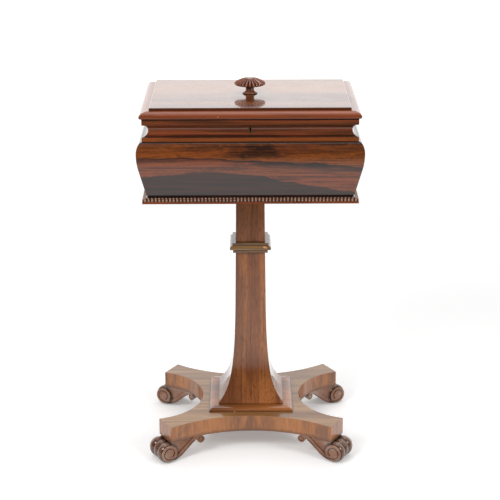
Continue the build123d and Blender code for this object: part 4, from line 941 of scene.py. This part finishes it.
def slotted_screw(work, points, slot):
    """Adds a countersunk screw with a slot across its head, in place of one plain pin."""
    low = Vector(min(point[axis] for point in points) for axis in range(3))
    high = Vector(max(point[axis] for point in points) for axis in range(3))
    size = high - low
    centre = (low + high) / 2
    long_axis = max(range(3), key=lambda axis: size[axis])
    across = min(axis for axis in range(3) if axis != long_axis)
    head_radius = size[across] / 2
    half = size[long_axis] / 2

    def reach(sign):
        end = [point for point in points if sign * (point[long_axis] - centre[long_axis]) > half * SCREW_END]
        return max((point - centre)[across] for point in end)

    sign = 1 if reach(1) > reach(-1) else -1
    axis = Vector(sign if index == long_axis else 0 for index in range(3))
    turn = axis.to_track_quat("Z", "Y").to_matrix().to_4x4()
    shank_radius = min(reach(1), reach(-1))
    rise = head_radius - shank_radius
    screw = bmesh.new()
    for top, depth, height in (
        (shank_radius, 2 * half - rise, -rise / 2),
        (head_radius, rise, half - rise / 2),
    ):
        bmesh.ops.create_cone(screw, cap_ends=True, segments=SCREW_SEGMENTS, radius1=shank_radius,
                              radius2=top, depth=depth, matrix=Matrix.Translation((0, 0, height)))
    for side in (-1, 1):
        bmesh.ops.bisect_plane(screw, geom=screw.verts[:] + screw.edges[:] + screw.faces[:],
                               plane_co=(side * slot / 2, 0, 0), plane_no=(1, 0, 0))
    strip = [face for face in screw.faces if face.calc_center_median().z > half - MERGE_DISTANCE
             and abs(face.calc_center_median().x) < slot / 2]
    bmesh.ops.inset_region(screw, faces=strip, thickness=head_radius * SCREW_RIM)
    floor = bmesh.ops.extrude_face_region(screw, geom=strip)["geom"]
    bmesh.ops.delete(screw, geom=strip, context="FACES_ONLY")
    sunk = [item for item in floor if isinstance(item, bmesh.types.BMVert)]
    bmesh.ops.translate(screw, verts=sunk, vec=(0, 0, -slot))
    bmesh.ops.recalc_face_normals(screw, faces=screw.faces)
    bmesh.ops.transform(screw, matrix=Matrix.Translation(centre) @ turn, verts=screw.verts)
    mesh = bpy.data.meshes.new("screw")
    screw.to_mesh(mesh)
    screw.free()
    work.from_mesh(mesh)
    bpy.data.meshes.remove(mesh)


def carved_row(work, side, pitch, radius, row):
    """Repeats one rounded carving along a side's moulding, from mitre to mitre."""
    shares, inset, drop, lean, shift = row
    low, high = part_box(f"bead_{side}")
    outward = OUTWARD[side]
    along = Vector((-outward.y, outward.x, 0.0))
    reach = max(abs(low.dot(outward)), abs(high.dot(outward))) - inset
    half = abs(high.dot(along) - low.dot(along)) / 2 - inset
    count = round(2 * half / pitch)
    turn = Matrix((-along, outward, Vector((0, 0, 1)))).transposed()
    shape = turn @ Matrix.Rotation(math.radians(lean), 3, "X")
    shape = shape @ Matrix.Diagonal([share * radius for share in shares])
    for step in range(count + (shift > 0)):
        place = along * (half * (2 * (step + 0.5 - shift) / count - 1)) + outward * reach
        place.z = high.z - drop
        spot = Matrix.Translation(place) @ shape.to_4x4()
        bmesh.ops.create_uvsphere(work, radius=1.0, matrix=spot, **BEAD_SEGMENTS)


def carve_lobes(work, low, lobes, lobe_depth):
    """Sinks hollows between the lobes of the knob's dome and of its underside."""
    for vert in work.verts:
        height = vert.co.z - low
        radius = vert.co.xy.length
        on_dome = height > KNOB_RIM_HEIGHT
        start, full = LOBES_ON_DOME if on_dome else LOBES_UNDER_RIM
        share = min(1.0, max(0.0, (radius - start) / (full - start)))
        groove = 1.0 - abs(math.cos(math.atan2(vert.co.y, vert.co.x) * lobes / 2))
        sink = lobe_depth * share * groove
        if sink:
            vert.co.xy *= 1.0 - sink * LOBE_SPREAD / radius
            vert.co.z -= sink * (1.0 if on_dome else -LOBE_RISE)


# ---------------------------------------------------------------- operators


class TEAPOY_OT_effects(bpy.types.Operator):
    """Build the shader groups that the finishes share"""

    bl_idname = "teapoy.effects"
    bl_label = "Shared Effects"

    def execute(self, context):
        rosewood_figure()
        veneered_faces()
        front_figure()
        old_surface()
        return {"FINISHED"}


class TEAPOY_OT_stand(bpy.types.Operator):
    """Finish the platform, feet, plinth, column and collar"""

    bl_idname = "teapoy.stand"
    bl_label = "Stand"

    def execute(self, context):
        dress(["platform"], rosewood("Platform", "tops", rough=0.30, gloss=0.16, paint=shade_platform))
        feet = [f"foot_{end}_{side}" for end in ("front", "back") for side in ("left", "right")]
        dress(feet, rosewood("Feet", rough=0.30, wear=0.9, grime=1.0, reach=0.011, gloss=0.06,
                             paint=shade_feet))
        dress(["column_plinth"], rosewood("Plinth", fineness=0.25, paint=chipped(PLINTH_CHIPS)))
        dress(["column"], rosewood("Column", "faces", paint=shade_column))
        dress_pairs("collar", "Collar", grime=1.0, reach=0.008, wear=0.7, paint=chipped(COLLAR_CHIPS))
        return {"FINISHED"}


class TEAPOY_OT_chest(bpy.types.Operator):
    """Finish the chest's walls, friezes and base board, and carve the beads under it"""

    bl_idname = "teapoy.chest"
    bl_label = "Chest"

    def execute(self, context):
        dress_pairs("wall", "Wall", wear=0.15, paint=shade_wall)
        dress(["wall_front"], rosewood("Front", wear=0.15, paint=shade_wall))
        dress_pairs("frieze", "Frieze", grime=0.5, reach=0.003, paint=shade_frieze)
        dress_pairs("bead", "Bead Strip", grime=0.8, wear=0.7, paint=shade_bead_bed)
        for axis, pair in PAIRS:
            # The beads' pale wood is painted light on their rounded tops.
            carved = rosewood("Beads", axis, paired=True, grime=0.6, wear=0.8, reach=0.004, edge=0.0004)
            for side in pair:
                self.beads(context, side, carved)
        dress(["base_board"], rosewood("Board"))
        return {"FINISHED"}

    def beads(self, context, side, material):
        """Two carved rows in the moulding's hollow: small beads between tall leaning eggs."""
        carving = context.scene.teapoy_carving
        work = bmesh.new()
        for row in (BEAD_ROW, EGG_ROW):
            carved_row(work, side, carving.bead_pitch, carving.bead_radius, row)
        finished(work, f"carved_beads_{side}", "stand", material, angle=50.0)


class TEAPOY_OT_lid(bpy.types.Operator):
    """Finish the lid's raised panel and its edge mouldings, and carve its knob"""

    bl_idname = "teapoy.lid"
    bl_label = "Lid"

    def execute(self, context):
        dress(["lid_panel"], rosewood("Lid Panel", fineness=0.2, rough=0.16, wear=0.3, gloss=0.05))
        for axis, pair in PAIRS:
            coat = LID_EDGE_COAT[axis]
            edge = rosewood("Lid Edge", axis, paired=True, coat=coat, paint=chipped(LID_CHIPS))
            dress([f"lid_moulding_{side}" for side in pair], edge)
        # The knob's wood is painted pale, partly as painted reflection.
        self.knob(context, rosewood("Knob", rough=0.2, wear=0.9, grime=1.0, reach=0.005, edge=0.0007,
                                    gloss=0.03, paint=shade_knob))
        return {"FINISHED"}

    def knob(self, context, material):
        """A turned knob whose dome and underside are carved into lobes."""
        carving = context.scene.teapoy_carving
        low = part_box("knob")[0].z
        work = bmesh.new()
        verts = [work.verts.new((radius, 0.0, low + height)) for radius, height in KNOB_PROFILE]
        edges = [work.edges.new(pair) for pair in zip(verts, verts[1:])]
        bmesh.ops.spin(work, geom=verts + edges, cent=(0, 0, 0), axis=(0, 0, 1), angle=math.tau,
                       steps=carving.knob_lobes * KNOB_STEPS, use_merge=True)
        bmesh.ops.remove_doubles(work, verts=work.verts, dist=MERGE_DISTANCE)
        carve_lobes(work, low, carving.knob_lobes, carving.lobe_depth)
        piece = finished(work, "gadrooned_knob", "lid", material, angle=60.0)
        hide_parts("knob")


class TEAPOY_OT_interior(bpy.types.Operator):
    """Finish the partitions, deck, canisters and bowls, and upholster the lid"""

    bl_idname = "teapoy.interior"
    bl_label = "Interior"

    def execute(self, context):
        names = ["deck", "partition_left", "partition_right"]
        for side in ("left", "right"):
            names += [f"canister_{side}", f"canister_lid_{side}", f"canister_knob_{side}"]
        dress(names, rosewood("Interior", rough=0.3, wear=0.3))
        dress(["box_bottom"], plain_deal())
        dress(["bowl_front", "bowl_back"], clear_glass())
        fold_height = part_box("lid_lining")[0].z + LINING_EDGE_RISE
        trim = velvet_cloth("Velvet Trim")
        self.lining(context, velvet_cloth("Buttoned Velvet", fold_height), trim, fold_height)
        self.piping(trim, fold_height)
        return {"FINISHED"}

    def lining(self, context, material, trim, level):
        """The lid's buttoned pad: cloth held along its edge and at each button."""
        carving = context.scene.teapoy_carving
        low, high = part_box("lid_lining")
        places = tufts(low, high, carving.tuft_pitch)
        work = bmesh.new()
        bmesh.ops.create_grid(work, x_segments=LINING_GRID[0], y_segments=LINING_GRID[1], size=0.5)
        bmesh.ops.scale(work, verts=work.verts, vec=(high.x - low.x, high.y - low.y, 1.0))
        bmesh.ops.translate(work, verts=work.verts, vec=((low.x + high.x) / 2, (low.y + high.y) / 2, level))
        bmesh.ops.reverse_faces(work, faces=work.faces)
        work.verts.index_update()
        held = [vert.index for vert in work.verts if vert.is_boundary
                or any((vert.co.xy - place.xy).length < carving.button_radius for place in places)]
        pad = mesh_object(work, "velvet_lining")
        swell(pad, held, carving.velvet_puff)
        pleat(pad.data, low, high, carving.tuft_pitch, level)
        work = bmesh.new()
        work.from_mesh(pad.data)
        rim = [edge for edge in work.edges if edge.is_boundary]
        for item in bmesh.ops.extrude_edge_only(work, edges=rim)["geom"]:
            if isinstance(item, bmesh.types.BMVert):
                item.co.z = high.z
        bmesh.ops.holes_fill(work, edges=[edge for edge in work.edges if edge.is_boundary])
        bmesh.ops.recalc_face_normals(work, faces=work.faces)
        work.to_mesh(pad.data)
        work.free()
        soften(pad.data, 60.0)
        pad.data.materials.append(material)
        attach(pad, "lid")
        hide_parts("lid_lining")
        work = bmesh.new()
        flat = Matrix.Diagonal((1.0, 1.0, BUTTON_FLATNESS, 1.0))
        for place in places:
            spot = Matrix.Translation((place.x, place.y, level)) @ flat
            bmesh.ops.create_uvsphere(work, radius=carving.button_radius, matrix=spot, **BUTTON_SEGMENTS)
        finished(work, "velvet_buttons", "lid", trim, angle=60.0)

    def piping(self, material, level):
        """A round cloth-covered cord that hides the edge of the pad."""
        low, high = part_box("lid_lining")
        left, right = low.x + PIPING_RADIUS, high.x - PIPING_RADIUS
        near, far = low.y + PIPING_RADIUS, high.y - PIPING_RADIUS
        corners = ((left, near), (right, near), (right, far), (left, far))
        line = bpy.data.curves.new("velvet_piping", "CURVE")
        line.dimensions = "3D"
        line.bevel_depth = PIPING_RADIUS
        line.bevel_resolution = 3
        spline = line.splines.new("POLY")
        spline.points.add(len(corners) - 1)
        for point, (x, y) in zip(spline.points, corners):
            point.co = (x, y, level - PIPING_RADIUS * PIPING_SINK, 1.0)
        spline.use_cyclic_u = True
        line.materials.append(material)
        piece = new_object("velvet_piping", line)
        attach(piece, "lid")


class TEAPOY_OT_metalwork(bpy.types.Operator):
    """Finish the hinges, lock and escutcheon, and slot the brass screws"""

    bl_idname = "teapoy.metalwork"
    bl_label = "Metalwork"

    def execute(self, context):
        brass = metal("Aged Brass", "brass", 1.0, rough=0.26, blotch=0.6)
        iron = metal("Dull Iron", "iron", 1.0, rough=0.42, blotch=0.7)
        dress(["escutcheon"], metal("Tarnished Brass", "brass", 0.55, rough=0.4, blotch=0.9))
        # The lock case is painted near-black, as painted shadow in the escutcheon's hole.
        dress(["lock_case"], metal("Lock Brass", "keyhole_shadow", 1.0, rough=0.45, blotch=0.9))
        slot = context.scene.teapoy_carving.screw_slot
        for name, body in (("box_screws", "stand"), ("lid_screws", "lid")):
            work = bmesh.new()
            for points in islands(name):
                slotted_screw(work, points, slot)
            screws = finished(work, f"slotted_{name}", body, brass, angle=30.0)
            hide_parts(name)
        names = ["lock_bolt", "link_plate"]
        for side in ("left", "right"):
            names += [f"hinge_leaf_body_{side}", f"hinge_leaf_lid_{side}"]
        dress(names, brass)
        dress(["hinge_pin_left", "hinge_pin_right", "stand_screws", "knob_screw"], iron)
        return {"FINISHED"}


class TEAPOY_OT_stage(bpy.types.Operator):
    """Set out the floor, the lamps and the camera"""

    bl_idname = "teapoy.stage"
    bl_label = "Stage"

    def execute(self, context):
        stage = context.scene.teapoy_stage
        work = bmesh.new()
        bmesh.ops.create_grid(work, x_segments=1, y_segments=1, size=FLOOR_REACH)
        floor = mesh_object(work, "floor")
        floor.data.materials.append(self.floor_material(stage))
        for lamp in LAMPS:
            self.lamp(*lamp)
        self.world(context)
        self.camera(context, stage)
        return {"FINISHED"}

    def shown(self, g):
        """Masks of the rays that show the pale background, and of those among them that are mirrored."""
        paths = g.add("ShaderNodeLightPath").outputs
        mirrored = paths["Is Glossy Ray"]
        return g.most(paths["Is Camera Ray"], mirrored, paths["Is Transmission Ray"]), mirrored

    def floor_material(self, stage):
        """A pale floor, dark in the polish of upright faces, that glows far away to meet the background."""
        material, g, shader, here = new_material("Studio Floor")
        seen, glossy = self.shown(g)
        mirrored = g.times(glossy, g.span(g.split(here)["Y"], *FLOOR_MIRRORED_REACH))
        tone = g.mix(seen, tint(stage.floor_bounce), tint(stage.floor_tone))
        glow = g.span(g.vector("LENGTH", here), *FLOOR_GLOW_REACH, stage.floor_glow, 1.0)
        g.fill(shader, {
            "Base Color": g.mix(mirrored, tone, tint(stage.floor_bounce, FLOOR_MIRRORED_SHARE)),
            "Roughness": 1.0,
            "Specular IOR Level": 0.0,
            "Emission Color": (1.0, 1.0, 1.0, 1.0),
            "Emission Strength": g.times(glow, g.minus(seen, mirrored)),
        })
        return material

    def lamp(self, name, place, aim, width, depth, power):
        data = bpy.data.lights.new(name, "AREA")
        data.shape = "RECTANGLE"
        data.size = width
        data.size_y = depth
        data.energy = power
        lamp = new_object(name, data)
        lamp.location = place
        lamp.rotation_euler = (Vector(aim) - Vector(place)).to_track_quat("-Z", "Y").to_euler()
        lamp.visible_camera = False

    def world(self, context):
        """A white background that lights the object softly, and is mirrored only from behind it."""
        world = bpy.data.worlds.new("Studio")
        world.use_nodes = True
        context.scene.world = world
        g = Graph(world.node_tree)
        seen, glossy = self.shown(g)
        ahead = g.split(g.add("ShaderNodeTexCoord").outputs["Generated"])["Y"]
        mirror = g.lerp(glossy, 1.0, g.span(ahead, *WORLD_MIRRORED, WORLD_LEAST_MIRRORED, 1.0))
        g.fill(world.node_tree.nodes["Background"].inputs, {
            "Color": (1.0, 1.0, 1.0, 1.0),
            "Strength": g.lerp(seen, WORLD_LIGHT, mirror),
        })

    def camera(self, context, stage):
        data = bpy.data.cameras.new("camera")
        data.sensor_width = SENSOR_WIDTH
        data.lens = stage.camera_lens
        camera = new_object("camera", data)
        turn = Matrix.Rotation(CAMERA_SWING, 3, "Z") @ Matrix.Rotation(math.pi / 2 - CAMERA_DIP, 3, "X")
        camera.rotation_euler = (turn @ Matrix.Rotation(CAMERA_ROLL, 3, "Z")).to_euler()
        camera.location = CAMERA_PLACE
        context.scene.camera = camera
        context.scene.view_settings.view_transform = "Standard"


class TEAPOY_PT_sidebar(bpy.types.Panel):
    """Lists the teapoy's pieces and its stage"""

    bl_idname = "TEAPOY_PT_sidebar"
    bl_label = "Teapoy"
    bl_space_type = "VIEW_3D"
    bl_region_type = "UI"
    bl_category = "Teapoy"

    def draw(self, context):
        for step in STEPS:
            self.layout.operator(step.bl_idname)
        scene = context.scene
        for group in (scene.teapoy_finishes, scene.teapoy_carving, scene.teapoy_stage):
            column = self.layout.column(align=True)
            for key in group.__annotations__:
                column.prop(group, key)


STEPS = (
    TEAPOY_OT_effects,
    TEAPOY_OT_stage,
    TEAPOY_OT_stand,
    TEAPOY_OT_chest,
    TEAPOY_OT_lid,
    TEAPOY_OT_interior,
    TEAPOY_OT_metalwork,
)
CLASSES = (TeapoyFinishes, TeapoyCarving, TeapoyStage, *STEPS, TEAPOY_PT_sidebar)


def register():
    for item in CLASSES:
        bpy.utils.register_class(item)
    bpy.types.Scene.teapoy_finishes = PointerProperty(type=TeapoyFinishes)
    bpy.types.Scene.teapoy_carving = PointerProperty(type=TeapoyCarving)
    bpy.types.Scene.teapoy_stage = PointerProperty(type=TeapoyStage)


def unregister():
    del bpy.types.Scene.teapoy_stage
    del bpy.types.Scene.teapoy_carving
    del bpy.types.Scene.teapoy_finishes
    for item in reversed(CLASSES):
        bpy.utils.unregister_class(item)


def main():
    register()
    for step in STEPS:
        group, action = step.bl_idname.split(".")
        getattr(getattr(bpy.ops, group), action)()


if __name__ == "__main__":
    main()
